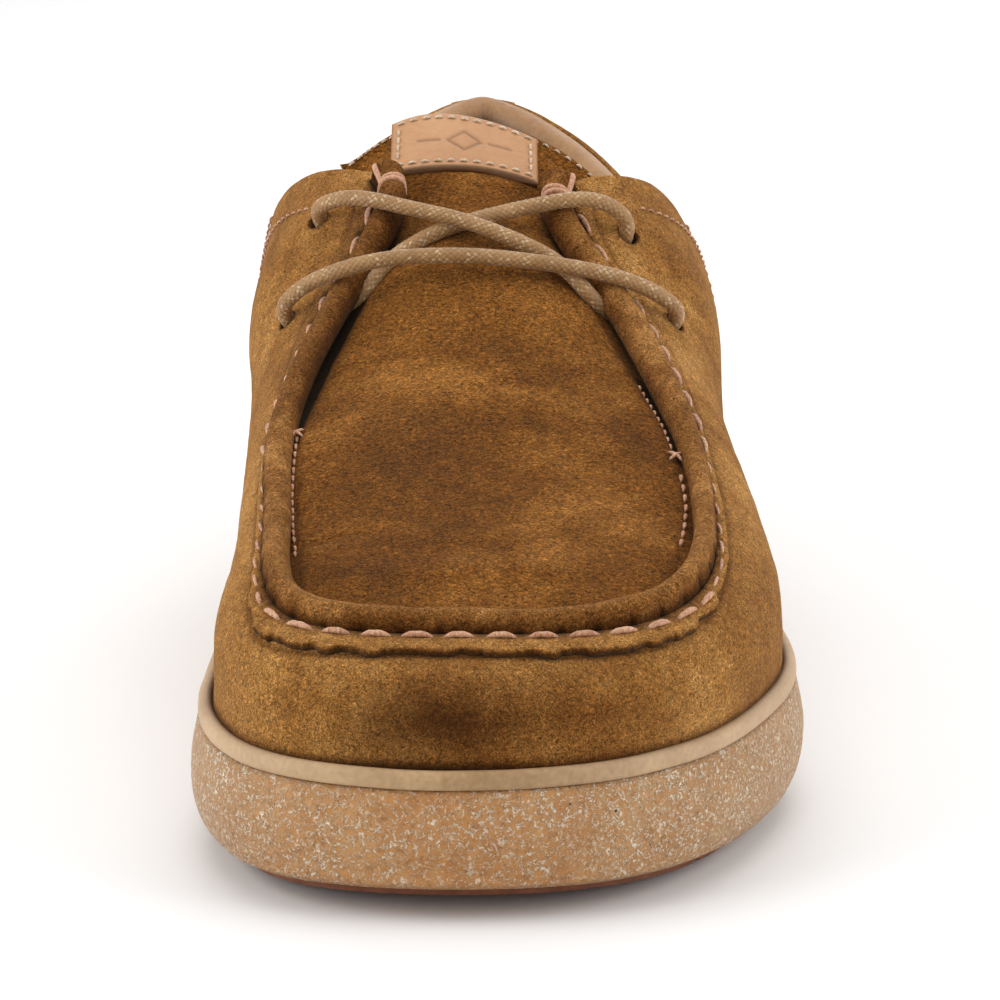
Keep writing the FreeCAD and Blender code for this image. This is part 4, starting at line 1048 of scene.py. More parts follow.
def leather_sheet(name, u, heights, depth_out, depth_in, material, marks=None, bend=None):
    """A layer of the upper. heights is one v per column; the top edge is rounded."""
    heights = np.broadcast_to(heights, (len(u), np.shape(heights)[-1]))
    base = wall_skin(u[:, None], heights)
    normal = wall_normal(u[:, None], heights)
    outer_depth = np.broadcast_to(depth_out, heights.shape)[..., None]
    inner_depth = np.broadcast_to(depth_in, heights.shape)[..., None]
    outer = base - normal * outer_depth
    lift = relief(outer)
    for spec in FLEX_FOLDS:
        lift = lift + fold(outer, *spec)
    outer = outer + normal * lift[..., None]
    if bend is not None:
        outer = bend(outer, normal, heights)
    inner = base - normal * inner_depth
    middle = base[:, -1:] - normal[:, -1:] * (0.5 * (outer_depth + inner_depth))[:, -1:]
    rise = unit(base[:, -1:] - base[:, -2:-1]) * 0.45 * (inner_depth - outer_depth)[:, -1:]
    loop = np.concatenate([outer, middle + rise, inner[:, ::-4]], 1)
    rows, columns = loop.shape[:2]
    values = {}
    for key, value in (marks or {}).items():
        full = np.zeros((rows, columns))
        full[:, :outer.shape[1]] = value
        full[:, outer.shape[1]:] = value[:, -1:]
        values[key] = full
    return loop_solid(name, loop, material, marks=values)


def dents(outer, normal, heights):
    """Punched lace holes: a small round pit in the suede where each lace end goes in."""
    for name in HOLES:
        place, out = hole_axis(name)
        d = outer - place
        axial = (d * out).sum(-1, keepdims=True)
        flat = d - axial * out
        r = np.linalg.norm(flat, axis=-1)
        near = (r < 8.0) & (np.abs(axial[..., 0]) < 6.0)
        pull = np.where(r < 2.1, 0.0, 1.0)
        rim = 2.1 + (r - 2.1) * np.where(np.abs(r - 2.1) < 0.5, 0.2, 1.0)
        rim = np.where(np.abs(r - 2.1) >= 0.5,
                       r - np.sign(r - 2.1) * 0.4 * np.exp(-(np.abs(r - 2.1) - 0.5) / 0.8), rim)
        deep = -1.55 * (1.0 - pull) * ease((2.15 - r) / 0.25) + 0.25 * np.exp(-((r - 2.9) / 0.7) ** 2)
        moved = outer + flat * ((rim - r) / np.maximum(r, 0.05))[..., None] + normal * deep[..., None]
        outer = np.where(near[..., None], moved, outer)
    return outer


def hole_shade(points):
    dark = 0.0
    for name in HOLES:
        place, out = hole_axis(name)
        d = points - place
        axial = (d * out).sum(-1, keepdims=True)
        r = np.linalg.norm(d - axial * out, axis=-1)
        inside = (np.abs(axial[..., 0]) < 6.0) * ease((3.2 - r) / 1.2)
        dark = np.maximum(dark, inside)
    return dark


def make_vamp():
    u = np.linspace(SEAM_OUTER - ROUND, SEAM_INNER, 620)
    v = np.concatenate([np.linspace(0.0, 0.5, 30)[:-1], np.linspace(0.5, 1.0, 70)])
    points = wall_skin(u[:, None], v[None])
    # Painted shade where the upper meets the rim, and on the lace stays a painted shadow of the raw edge on the wall
    # just below it.
    rim_gap = points[..., 2] - rim_top(points[..., 1] + 151.0)
    dark = 0.65 * np.exp(-(np.maximum(rim_gap, 0.0) / 1.4) ** 2)
    down = (1.0 - v)[None, :] * rib_length(u)[:, None]
    stays = (u > RIDGE_START) & (u < RIDGE_END)
    raw = SEAM(u)[:, 2:3]
    dark = np.maximum(dark, np.where(stays[:, None], 0.5 * np.exp(-((down - raw - 0.4) / 0.8) ** 2), 0.0))
    # painted shade patches on the front of the toe
    for x, z, wide, high, strength in ((-15.0, 35.0, 15.0, 8.0, 0.58), (2.0, 35.0, 18.0, 7.0, 0.42), (18.0, 42.0, 16.0, 3.0, 0.20),
                                       (-24.0, 31.0, 8.0, 4.0, 0.12), (30.0, 34.0, 7.0, 5.0, 0.26), (48.0, 45.0, 6.0, 5.0, 0.2)):
        patch = np.exp(-((points[..., 0] - x) / wide) ** 2 - ((points[..., 2] - z) / high) ** 2)
        dark = dark + strength * patch * (points[..., 1] < -40.0)
    dark = np.maximum(dark, hole_shade(points))
    # Painted highlight on the sides of the wall that face the side lamps.
    light = (0.55 * ease((-points[..., 0] - 32.0) / 12.0) * ease((64.0 - points[..., 2]) / 20.0)
             + 0.15 * ease((points[..., 0] - 36.0) / 10.0) + 0.0 * down)
    piece = leather_sheet("vamp_suede", u, v, 0.0, SUEDE, suede_wall,
                          {"dark": np.clip(dark, 0.0, 1.0), "light": light}, dents)
    return done(piece, "suede", "vamp")


def make_quarters():
    heel = knot(15.0)
    v = np.linspace(0.0, 1.0, 90)
    for name, first, last in (("quarter_medial", SEAM_INNER + 0.25, heel - 0.1),
                              ("quarter_lateral", heel + 0.1, SEAM_OUTER - 0.25)):
        u = np.linspace(first, last, 150)
        points = wall_skin(u[:, None], v[None])
        # Painted shade where the quarters meet the rim and along the side seams.
        rim_gap = points[..., 2] - rim_top(points[..., 1] + 151.0)
        dark = 0.65 * np.exp(-(np.maximum(rim_gap, 0.0) / 1.4) ** 2)
        seam = np.minimum(np.abs(u - SEAM_INNER), np.abs(u - SEAM_OUTER))[:, None]
        dark = np.maximum(dark, 0.6 * np.exp(-(seam / 0.7) ** 2))
        piece = leather_sheet(name + "_suede", u, v, 0.25, SUEDE, suede_wall,
                              {"dark": dark, "light": 0.15 + 0.0 * dark})
        done(piece, "suede", name)


# Round the heel the lining runs inside the stiffener: where along the ribs, and how much deeper.
STIFFENER_RIBS = (11.9, 18.1)
STIFFENER_ROOM = 1.2


def make_linings():
    for name, node, first, last, depth_out, depth_in in (
        ("lining_front", "vamp_lining", SEAM_OUTER - ROUND, SEAM_INNER, SUEDE + 0.08, SUEDE + 1.05),
        ("lining_back", "quarter_lining", SEAM_INNER + 0.4, SEAM_OUTER - 0.4, SUEDE + 0.1, SUEDE + 1.1),
    ):
        u = np.linspace(first, last, 360)
        length = rib_length(u)
        stays = ease((u - RIDGE_START + 3.0) / 4.0) * ease((RIDGE_END + 3.0 - u) / 4.0)
        top = 1.0 + (1.3 - 2.5 * stays) / length
        v = 0.03 + (top[:, None] - 0.03) * np.linspace(0.0, 1.0, 40)[None, :]
        zero = np.zeros(v.shape)
        behind = ease((u - knot(STIFFENER_RIBS[0])) / 5.0) * ease((knot(STIFFENER_RIBS[1]) - u) / 5.0)
        deeper = STIFFENER_ROOM * behind[:, None] * ease((0.76 - v) / 0.12)
        piece = leather_sheet(name, u, v, depth_out + deeper, depth_in + deeper, lining, {"dark": zero})
        done(piece, "lining_leather", node)


def make_backstay():
    heel = knot(15.0)
    u = np.linspace(heel - 9.0, heel + 9.0, 60)
    v = np.linspace(0.06, 0.985, 90)
    across = np.abs(u - heel)[:, None]
    base = wall_skin(u[:, None], v[None])
    normal = wall_normal(u[:, None], v[None])
    thick = 1.25 - 1.0 * ease((across - 8.2) / 0.8) + 0.0 * v[None]
    outer = base + normal * (thick + relief(base))[..., None]
    inner = base - normal * 0.1
    # Painted shade along both edges of the strip.
    dark = 0.6 * np.exp(-((across - 9.0) / 0.5) ** 2) + 0.0 * v[None]
    loop = np.concatenate([outer, inner[:, ::-3]], 1)
    full = np.zeros(loop.shape[:2])
    full[:, :len(v)] = dark
    done(loop_solid("backstay_suede", loop, suede_wall, marks={"dark": full}), "suede", "backstay")
    for offset in (-7.2, 7.2):
        rows = np.linspace(0.08, 0.97, 28)
        uu = np.full(len(rows), heel + offset)
        p = wall_skin(uu, rows) + wall_normal(uu, rows) * 1.45
        a = wall_skin(uu, rows + 0.01) - wall_skin(uu, rows - 0.01)
        piece = stitches("backstay_stitch_" + ("a" if offset < 0 else "b"), p, a,
                         wall_normal(uu, rows), 1.8, 0.55, thread, rings=7, around=6)
        done(piece, "thread")


make_vamp()
make_quarters()
make_linings()
make_backstay()


# ---------------------------------------------------------------- rolled seam, raw edge, hand stitches
def stitch_places():
    """Places of the hand stitches: closer together round the toe than on the lace stays."""
    u = np.linspace(RIDGE_START + 6.5, RIDGE_END - 7.5, 900)
    steps = np.linalg.norm(np.diff(from_edge(u, 3.0 + 0.0 * u), axis=0), axis=1)
    pitch = 8.3 - 1.05 * toe_share(0.5 * (u[1:] + u[:-1]))
    count = np.concatenate([[0.0], np.cumsum(steps / pitch)])
    whole = int(round(count[-1]))
    return np.interp((np.arange(whole) + 0.5) * count[-1] / whole, count, u)


STITCH_U = stitch_places()


def shyness(u):
    """1 where the roll leans over the stitches and hides them."""
    inner = ease((u - knot(2.5)) / 8.0) * ease((knot(5.0) - u) / 8.0)
    outer = ease((u - knot(25.0) + ROUND) / 8.0) * ease((knot(27.3) - ROUND - u) / 8.0)
    return inner + outer


def stitch_phase(u):
    """0 in the middle of a stitch, 0.5 between two stitches."""
    count = np.interp(u, STITCH_U, np.arange(len(STITCH_U)))
    return np.abs(count - np.round(count))


ROLL = {}


def make_ridge():
    u = np.linspace(RIDGE_START, RIDGE_END, 1500)
    head = from_edge(u, 0.0 * u)
    beside = from_edge(u, 1.5 + 0.0 * u)
    out = beside - head
    out[:, 2] = 0.0
    out = unit(out)
    toe = toe_share(u)
    seam = SEAM(u)
    head = head - out * seam[:, 1:2]
    head[:, 2] += 0.12 * seam[:, 1]
    height = 3.7 + 0.9 * toe
    height = height * (1.0 + 0.05 * noise(np.stack([u, 0 * u, 0 * u], -1), 11.0, 61))
    half = seam[:, 0]
    gap = stitch_phase(u)
    dip = np.exp(-((0.5 - gap) / 0.13) ** 2)
    ends = np.minimum(u - RIDGE_START, RIDGE_END - u)
    round_end = np.sqrt(np.clip(1.0 - (1.0 - np.clip(ends / 3.2, 0.0, 1.0)) ** 2, 0.0, 1.0))
    knob = 1.0 + 0.16 * np.exp(-((ends - 2.6) / 2.0) ** 2) - 0.14 * np.exp(-((ends - 6.2) / 1.3) ** 2)
    angle = np.linspace(0.0, math.pi, 27)
    side = half[:, None] * (knob * (0.25 + 0.75 * round_end))[:, None] * np.cos(angle)[None, :]
    up = (height * knob * (0.12 + 0.88 * round_end))[:, None] * np.sin(angle)[None, :] ** 0.8
    # the thread pulls the outer foot of the roll in, and leaves a dimple between two stitches
    outer_foot = np.exp(-((angle - 0.35) / 0.4) ** 2)[None, :]
    inner_foot = np.exp(-((math.pi - angle - 0.3) / 0.4) ** 2)[None, :]
    side = side - (0.25 + 0.28 * dip)[:, None] * outer_foot + 0.15 * inner_foot
    points = head[:, None] + out[:, None] * side[..., None]
    points[..., 2] += 0.3 + up
    points[..., 2] += (0.10 * noise(points, 5.0, 63))
    points = points + out[:, None] * (0.12 * noise(points, 8.0, 65))[..., None]
    ROLL.update(u=u, turn=angle, skin=points, core=head)
    under = head[:, None] + out[:, None] * (half[:, None] * np.cos(angle[::-3])[None, :] * 0.9)[..., None]
    under[..., 2] -= 0.9
    loop = np.concatenate([points, under], 1)
    # Painted shade on the roll: at its outer foot, along its inner foot and more over the lace stays, in the dimples
    # between stitches and over the inner stay; it is also darker near its ends, and the hidden underside is dark.
    # Painted highlight along the crest, stronger round the toe.
    dark = np.zeros(loop.shape[:2])
    stay = ease((head[:, 1] + 60.0) / 25.0)
    dark[:, :27] = 0.7 * np.exp(-(angle / 0.40) ** 2)[None, :]
    dark[:, :27] += (0.25 + 0.25 * stay)[:,
                                         None] * np.exp(-((math.pi - angle) / (0.30 + 0.45 * stay[:, None])) ** 2)
    dark[:, :27] += 0.30 * dip[:, None] * np.exp(-((angle - 0.1) / 0.35) ** 2)[None, :]
    dark[:, :27] += (0.18 * stay * (u > 0.0))[:, None] + 0.3 * np.exp(-((ends - 2.5) / 2.5) ** 2)[:, None]
    dark = np.clip(dark, 0.0, 0.9)
    dark[:, 27:] = 0.9
    light = np.zeros_like(dark)
    crest = np.exp(-((angle - 1.55) / 0.6) ** 2)[None, :] * (0.75 + 0.25 * noise(points, 9.0, 67))
    light[:, :27] = (0.25 + 0.55 * toe)[:, None] * crest
    ridge = loop_solid("seam_roll", loop, suede_roll, marks={"dark": dark, "light": light})
    return done(ridge, "suede", "seam_ridge")


def head_y(u):
    return from_edge(u, 0.0 * u)[:, 1]


def edge_wave(u):
    """How far the raw edge strays from its line."""
    line = np.stack([u, 0.0 * u, 0.0 * u], -1)
    return 0.55 * noise(line, 6.0, 71) + 0.45 * noise(line, 2.6, 73) + 0.16 * noise(line, 0.9, 75)


def make_flange():
    u = np.linspace(RIDGE_START, RIDGE_END, 1700)
    toe = toe_share(u)
    seam = SEAM(u)
    lobes = np.exp(-((u - knot(2.2)) / 9.0) ** 2)
    width = seam[:, 2] + edge_wave(u) * (0.25 + 0.95 * toe + 0.9 * lobes) * (1.0 - 0.8 * shyness(u))
    thick = 0.55 + 1.05 * toe - 0.15 * shyness(u)
    ends = np.minimum(u - RIDGE_START, RIDGE_END - u)
    width = 2.0 + (width - 2.0) * ease(ends / 5.0)
    share = np.array((0.0, 0.12, 0.3, 0.5, 0.68, 0.82, 0.92, 0.97, 1.0, 1.01, 1.0))
    lift = np.array((0.75, 0.85, 0.95, 1.0, 1.0, 0.99, 0.97, 0.9, 0.7, 0.35, -0.15))
    first = (seam[:, 0] - seam[:, 1] - 0.7)[:, None]
    down = first + (width[:, None] - first) * share[None, :]
    depth = -thick[:, None] * lift[None, :]
    depth = depth - 0.12 * noise(np.stack([u[:, None] + 0 * down, down, 0 * down], -1), 3.5, 77) * (share > 0.2)
    outer = from_edge(u[:, None] + 0.0 * down, down, depth)
    inner_share = np.array((0.85, 0.4, 0.0))
    inner = from_edge(u[:, None] + np.zeros((1, 3)),
                      first + (width[:, None] - first) * inner_share[None, :], 0.35 + np.zeros((len(u), 3)))
    loop = np.concatenate([outer, inner], 1)
    # Painted shade next to the roll, over the lace stays, in the dips between stitches and on the hidden underside;
    # the rows towards the raw cut edge are darker, partly the edge's own colour and partly painted shade of the
    # turned-down edge. Painted highlight on the top of the flange.
    dark = np.zeros(loop.shape[:2])
    dark[:, :11] = np.array((0.7, 0.5, 0.2, 0.05, 0.0, 0.0, 0.15, 0.45, 0.75, 0.85, 1.0))[None, :]
    dark[:, 4:11] *= (0.45 + 0.55 * toe)[:, None] * (1.0 - 0.8 * shyness(u))[:, None]
    painted_stay_shade = ease((head_y(u) + 55.0) / 20.0) * (0.22 + 0.2 * (u > 0.0))
    dark[:, :11] += painted_stay_shade[:, None]
    gap = stitch_phase(u)
    dark[:, :4] += 0.3 * np.exp(-((0.5 - gap) / 0.12) ** 2)[:, None]
    dark[:, 11:] = 1.0
    light = np.zeros_like(dark)
    light[:, 3:7] = 0.25
    piece = loop_solid("seam_raw_edge", loop, suede_wall,
                       marks={"dark": np.clip(dark, 0.0, 1.0), "light": light})
    return done(piece, "suede", "seam_flange")


def make_hand_stitches():
    u = STITCH_U
    toe = toe_share(u)

    def foot_line(u, turn):
        seam = SEAM(u)
        down = seam[:, 0] - seam[:, 1] + 0.10 + 0.80 * toe - 0.55 * shyness(u) + turn
        return from_edge(u, down, -(0.95 + 0.95 * toe - 0.4 * shyness(u)))

    slant = 0.16 * (1.0 - toe)
    place = foot_line(u, 0.0)
    ahead = foot_line(u + 1.0, slant)
    before = foot_line(u - 1.0, -slant)
    v = 1.0 - 3.8 / rib_length(u)
    shy = shyness(u)
    length = 5.7 + 0.5 * lattice(np.arange(len(u)), 1, 2, 9) - 0.8 * shy
    piece = stitches("hand_stitch_row", place, ahead - before, wall_normal(u, v), length, 1.12 - 0.45 * shy, thread,
                     lift=0.14, sink=0.5, rings=19, around=14, ply=0.07)
    return done(piece, "thread", "hand_stitches")


def roll_skin(u, turn, grow):
    """A point on the rolled seam, pushed outward: turn 0 is its outer foot, pi its inner one."""
    i = np.clip(np.interp(u, ROLL["u"], np.arange(len(ROLL["u"]))), 0, len(ROLL["u"]) - 1.001)
    j = np.clip(np.interp(turn, ROLL["turn"], np.arange(len(ROLL["turn"]))), 0, len(ROLL["turn"]) - 1.001)
    i0, j0 = i.astype(int), j.astype(int)
    fi, fj = (i - i0)[:, None], (j - j0)[:, None]
    skin = ROLL["skin"]
    point = ((skin[i0, j0] * (1 - fi) + skin[i0 + 1, j0] * fi) * (1 - fj)
             + (skin[i0, j0 + 1] * (1 - fi) + skin[i0 + 1, j0 + 1] * fi) * fj)
    return point + unit(point - ROLL["core"][i0]) * np.asarray(grow, float)[..., None]


def make_end_loops():
    """Thread that binds each end of the rolled seam: two turns over the neck and one along its side."""
    for side, end, sign in (("medial", RIDGE_END, -1.0), ("lateral", RIDGE_START, 1.0)):
        turns = []
        for number, away in enumerate((6.1, 7.3)):
            turn = np.linspace(0.0, math.pi, 40)
            sunk = -0.5 * np.abs(np.cos(turn)) ** 6
            place = end + sign * (away + 0.3 * np.cos(turn))
            line, _ = even(roll_skin(place, turn, 0.22 + sunk), 0.15)
            turns.append(tube("end_turn_%s_%d" % (side, number), line, 0.55, 16, thread, None))
        along = np.linspace(0.0, 1.0, 40)
        place = end + sign * (7.0 - 5.6 * along)
        turn = 0.35 + 0.35 * along
        line, _ = even(roll_skin(place, turn, 0.55 * np.sin(math.pi * along) ** 0.7 - 0.35), 0.15)
        turns.append(tube("end_loop_" + side, line, 0.6, 16, thread, None))
        for piece in turns:
            done(piece, "thread")


make_ridge()
make_flange()
make_hand_stitches()
make_end_loops()


# ---------------------------------------------------------------- apron and tongue
TIP = 191.0
APRON_THICK = 2.9


# How far inside the apron's edge the inner foot of the rolled seam stands, along the shoe.
FOOT_T = (24.4, 31.0, 44.5, 58.0, 72.0, 85.0, 100.0, 128.0, 148.0, 163.0, 191.0)
FOOT_LEFT = (3.0, 3.0, 3.5, 3.9, 3.85, 3.2, 2.2, 3.4, 6.5, 9.0, 9.0)
FOOT_RIGHT = (3.0, 3.0, 2.4, 2.0, 1.7, 1.9, 2.3, 4.4, 5.9, 8.5, 9.0)


def foot_inside(t, w):
    """Millimetres from the inner foot of the rolled seam towards the middle of the apron."""
    reach = np.where(w < 0.0, np.abs(LEFT_EDGE(t)[..., 0] - MIDDLE(t)[..., 0]),
                     np.abs(RIGHT_EDGE(t)[..., 0] - MIDDLE(t)[..., 0]))
    foot = np.where(w < 0.0, np.interp(t, FOOT_T, FOOT_LEFT), np.interp(t, FOOT_T, FOOT_RIGHT))
    return (1.0 - np.abs(w)) * reach - foot


def apron_relief(t, w, points):
    lift = 0.2 * layered(points, 15.0, 81) + 0.06 * layered(points, 4.0, 85)
    # a soft crease across the left of the apron and the fold it throws up in front
    lift = lift - 0.45 * np.exp(-((t - (62.0 + 5.0 * w)) / 1.8) ** 2) * ease((-0.35 - w) / 0.5)
    lift = lift + 0.5 * np.exp(-((t - (44.0 + 1.5 * w)) / 4.5) ** 2) * ease((0.8 - np.abs(w + 0.1)) / 0.6)
    # the edge dips where it is sewn in
    inside = foot_inside(t, w)
    lift = lift - 0.45 * np.exp(-(np.maximum(inside, 0.0) / 1.2) ** 2) * ease((168.0 - t) / 10.0)
    return lift


def make_apron():
    t = np.concatenate([np.linspace(24.4, 150.0, 330)[:-1], np.linspace(150.0, TIP, 120)])
    w = np.sin(np.linspace(-0.5, 0.5, 150) * math.pi * 0.93) / math.sin(0.465 * math.pi)
    tt, ww = np.meshgrid(t, w, indexing="ij")
    # rounded corners of the tongue
    free = ease((tt - 160.0) / 10.0)
    narrow = 1.0 - 0.015 * free
    bow = np.clip((tt - 150.0) / (TIP - 150.0), 0.0, 1.0) ** 3 * 2.5 * np.abs(ww) ** 6
    base = apron_skin(tt - bow, ww * narrow)
    normal = apron_normal(tt - bow, ww * narrow)
    outer = base + normal * apron_relief(tt, ww, base)[..., None]
    edge = np.maximum(np.exp(-((TIP - tt) / 1.0) ** 2), np.exp(-((1.0 - np.abs(ww)) / 0.035) ** 2) * free)
    outer = outer - normal * (0.75 * edge)[..., None]
    inner = base - normal * (APRON_THICK - 0.6 * edge)[..., None]
    # one closed skin: out over the face, back underneath
    loop = np.concatenate([outer, inner[:, ::-1]], 1)
    ring = np.abs(np.concatenate([w, w[::-1]]))[None, :]
    along = t[:, None]
    signed = np.concatenate([w, w[::-1]])[None, :]
    inside = foot_inside(along + 0.0 * ring, signed + 0.0 * along)
    stay = ease((along - 90.0) / 8.0) * ease((164.0 - along) / 12.0)
    stay = np.where(signed < 0.0, stay, ease((along - 84.0) / 5.0) * ease((128.0 - along) / 10.0))
    # Painted shade: a dark band where the apron runs under the lace stays, along the inner foot of the seam, at the
    # toe end under the roll and in the crease.
    dark = (0.45 + 0.55 * stay) * ease((0.35 + 0.7 * stay - inside) / 0.6) * ease((172.0 - along) / 10.0)
    dark = dark * np.where((signed > 0.0) & (along > 122.0), 0.5, 1.0)
    dark = np.maximum(dark, 0.35 * np.exp(-(np.maximum(inside, 0.0) / 1.8) ** 2) * ease((160.0 - along) / 20.0))
    dark = np.maximum(dark, 0.5 * np.exp(-((along - 24.4) / 3.5) ** 2))
    dark = np.maximum(dark,
                      0.25 * np.exp(-((along - (62.0 + 5.0 * signed)) / 0.9) ** 2) * ease((-0.5 - signed) / 0.3))
    # painted shade in the hollows beside the seam and on the lower part of the apron
    dark = dark + 0.26 * np.exp(-((along - 52.0) / 8.0) ** 2 - ((signed + 0.55) / 0.45) ** 2)
    # Painted highlights: on the fold in front of the crease, over the upper apron, on patches to either side and
    # along the tip of the tongue.
    light = (0.3 * np.exp(-((along - 36.0) / 5.0) ** 2)
             + 0.35 * ease((along - 100.0) / 30.0) * ease((175.0 - along) / 20.0))
    light = light + 0.25 * np.exp(-((along - 58.0) / 14.0) ** 2 - ((signed - 0.5) / 0.3) ** 2)
    light = light + 0.5 * np.exp(-((along - 102.0) / 12.0) ** 2 - ((signed + 0.5) / 0.3) ** 2)
    light = light + 0.35 * np.exp(-((TIP - along) / 1.2) ** 2)
    piece = loop_solid("apron_and_tongue", loop, suede_apron,
                       marks={"dark": np.clip(dark + 0.0 * ring, 0.0, 1.0), "light": light + 0.0 * ring})
    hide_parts("apron", "apron_lining", "tongue", "tongue_lining")
    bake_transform(piece)
    return piece


def apron_row(name, t, w, step_length, width, lift, body, material=None, sideways=False):
    """Fine stitches on the apron or tongue through the given places."""
    normal = apron_normal(t, w)
    base = apron_skin(t, w) + normal * (lift + apron_relief(t, w, apron_skin(t, w)))[..., None]
    along = np.gradient(base, axis=0)
    piece = stitches(name, base, along, normal, step_length, width, material or thread, rings=7, around=6)
    return done(piece, "thread", body=body)


def along_t(first, last, step, w_of):
    t = np.linspace(first, last, 600)
    line = apron_skin(t, w_of(t))
    length = np.concatenate([[0.0], np.cumsum(np.linalg.norm(np.diff(line, axis=0), axis=1))])
    count = int(length[-1] / step)
    return np.interp((np.arange(count) + 0.5) * length[-1] / count, length, t)


make_apron()
for side, sign, rows in (("medial", -1.0, ((54.0, 99.0, 2.9, 2.3, 0.65),)),
                         ("lateral", 1.0, ((57.0, 84.0, 3.4, 2.6, 0.8), (92.0, 118.0, 2.5, 1.9, 0.5)))):
    offset = 0.1 if sign < 0 else 1.0

    def beside_seam(t, sign=sign, offset=offset):
        edge, foot = (LEFT_EDGE(t), FOOT_LEFT) if sign < 0 else (RIGHT_EDGE(t), FOOT_RIGHT)
        return sign * (1.0 - (np.interp(t, FOOT_T, foot) + offset) / np.abs(edge[..., 0] - MIDDLE(t)[..., 0]))
    for number, (first, last, step, long, wide) in enumerate(rows):
        places = along_t(first, last, step, beside_seam)
        apron_row("machine_stitch_%s_%d" % (side, number), places, beside_seam(places), long, wide, 0.1, SHOE)
    # the crossed stitches that lock the end of the row
    cross_t = 98.5 if sign < 0 else 89.0
    centre_w = beside_seam(np.array([cross_t, cross_t]))
    base = (apron_skin(np.array([cross_t, cross_t]), centre_w)
            + apron_normal(np.array([cross_t, cross_t]), centre_w) * 0.5)
    apron_along = (apron_skin(np.array([cross_t + 1.0] * 2), centre_w)
                   - apron_skin(np.array([cross_t - 1.0] * 2), centre_w))
    apron_across = (apron_skin(np.array([cross_t] * 2), centre_w + 0.03)
                    - apron_skin(np.array([cross_t] * 2), centre_w - 0.03))
    lean = np.array([[0.9], [-0.9]])
    done(stitches("bartack_" + side, base, unit(apron_along) + lean * unit(apron_across), apron_normal(np.array([cross_t] * 2), centre_w),
                  4.2, 0.7, thread, rings=9, around=8), "thread")

# stitches along the free edge of the tongue
edge_t = 188.6
edge_w = np.linspace(-0.93, 0.93, 26)
apron_row("tongue_edge_stitch", np.full(26, edge_t) - 2.5 * np.abs(edge_w) ** 6, edge_w, 1.7, 0.55,
          0.08, TONGUE, pale_thread)


# ---------------------------------------------------------------- leather patch
LABEL_HALF_WIDTH = 14.3
LABEL_HALF_HEIGHT = 7.6
DEBOSS = 0.28     # depth of the mark pressed into the leather


def make_label():
    across = np.linspace(-1.0, 1.0, 90)
    along = np.linspace(-1.0, 1.0, 50)
    a, b = np.meshgrid(along, across, indexing="ij")

    def lie(a, b, lift):
        t = 182.4 + 7.6 * a - b * (1.35 + 0.6 * a)
        x = -7.2 + 14.5 * b
        w = np.where(x < MIDDLE(t)[..., 0], -(x - MIDDLE(t)[..., 0]) / (LEFT_EDGE(t)[..., 0] - MIDDLE(t)[..., 0]),
                     (x - MIDDLE(t)[..., 0]) / (RIGHT_EDGE(t)[..., 0] - MIDDLE(t)[..., 0]))
        w = np.where(x < MIDDLE(t)[..., 0], -np.abs(w), np.abs(w))
        return apron_skin(t, w) + apron_normal(t, w) * np.asarray(lift, float)[..., None]

    x_mm, y_mm = LABEL_HALF_WIDTH * b, LABEL_HALF_HEIGHT * a
    inside = np.minimum(LABEL_HALF_WIDTH - np.abs(x_mm), LABEL_HALF_HEIGHT - np.abs(y_mm))
    lift = (1.4 - 0.4 * np.exp(-(inside / 0.35) ** 2)
            + 0.05 * layered(np.stack([x_mm, y_mm, 0 * x_mm], -1), 4.0, 91))
    lift = lift - 0.10 * np.exp(-((inside - 1.5) / 0.5) ** 2)
    # a plain debossed diamond between two short bars
    diamond = np.abs(x_mm) / 3.2 + np.abs(y_mm) / 2.6
    press = np.exp(-((diamond - 1.0) / 0.16) ** 2)
    bars = np.exp(-(y_mm / 0.35) ** 2) * ease((np.abs(x_mm) - 4.4) / 0.4) * ease((9.4 - np.abs(x_mm)) / 0.4)
    lift = lift - DEBOSS * np.maximum(press, bars)
    outer = lie(a, b, lift)
    inner = lie(a, b, 0.1 + 0.0 * a)
    loop = np.concatenate([outer, inner[:, ::-1]], 1)
    dark = np.clip(0.6 * np.exp(-(inside / 0.3) ** 2) + 0.5 * np.maximum(press, bars), 0.0, 0.9)
    dark = np.maximum(dark, 0.8 * ease((-a - 0.93) / 0.04))
    label = loop_solid("tongue_label", loop, label_leather,
                       marks={"dark": np.concatenate([dark, dark[:, ::-1]], 1)})
    done(label, "label_leather", "label", body=TONGUE)
    xs = np.linspace(-12.4, 12.4, 11)
    ys = np.linspace(-5.8, 5.8, 6)
    place = ([(x, y, 1, 0) for y in (-6.1, 6.1) for x in xs]
             + [(x, y, 0, 1) for x in (-12.8, 12.8) for y in ys[1:-1]])
    place = np.array(place, float)
    a0, b0 = place[:, 1] / LABEL_HALF_HEIGHT, place[:, 0] / LABEL_HALF_WIDTH
    p = lie(a0, b0, 1.35 + 0.0 * a0)
    q = lie(a0 + 0.02 * place[:, 3], b0 + 0.01 * place[:, 2], 1.35 + 0.0 * a0)
    up = lie(a0, b0, 2.5 + 0.0 * a0) - p
    piece = stitches("label_stitch", p, q - p, up, 2.1, 0.6, pale_thread, rings=9, around=8)
    done(piece, "thread", body=TONGUE)


make_label()


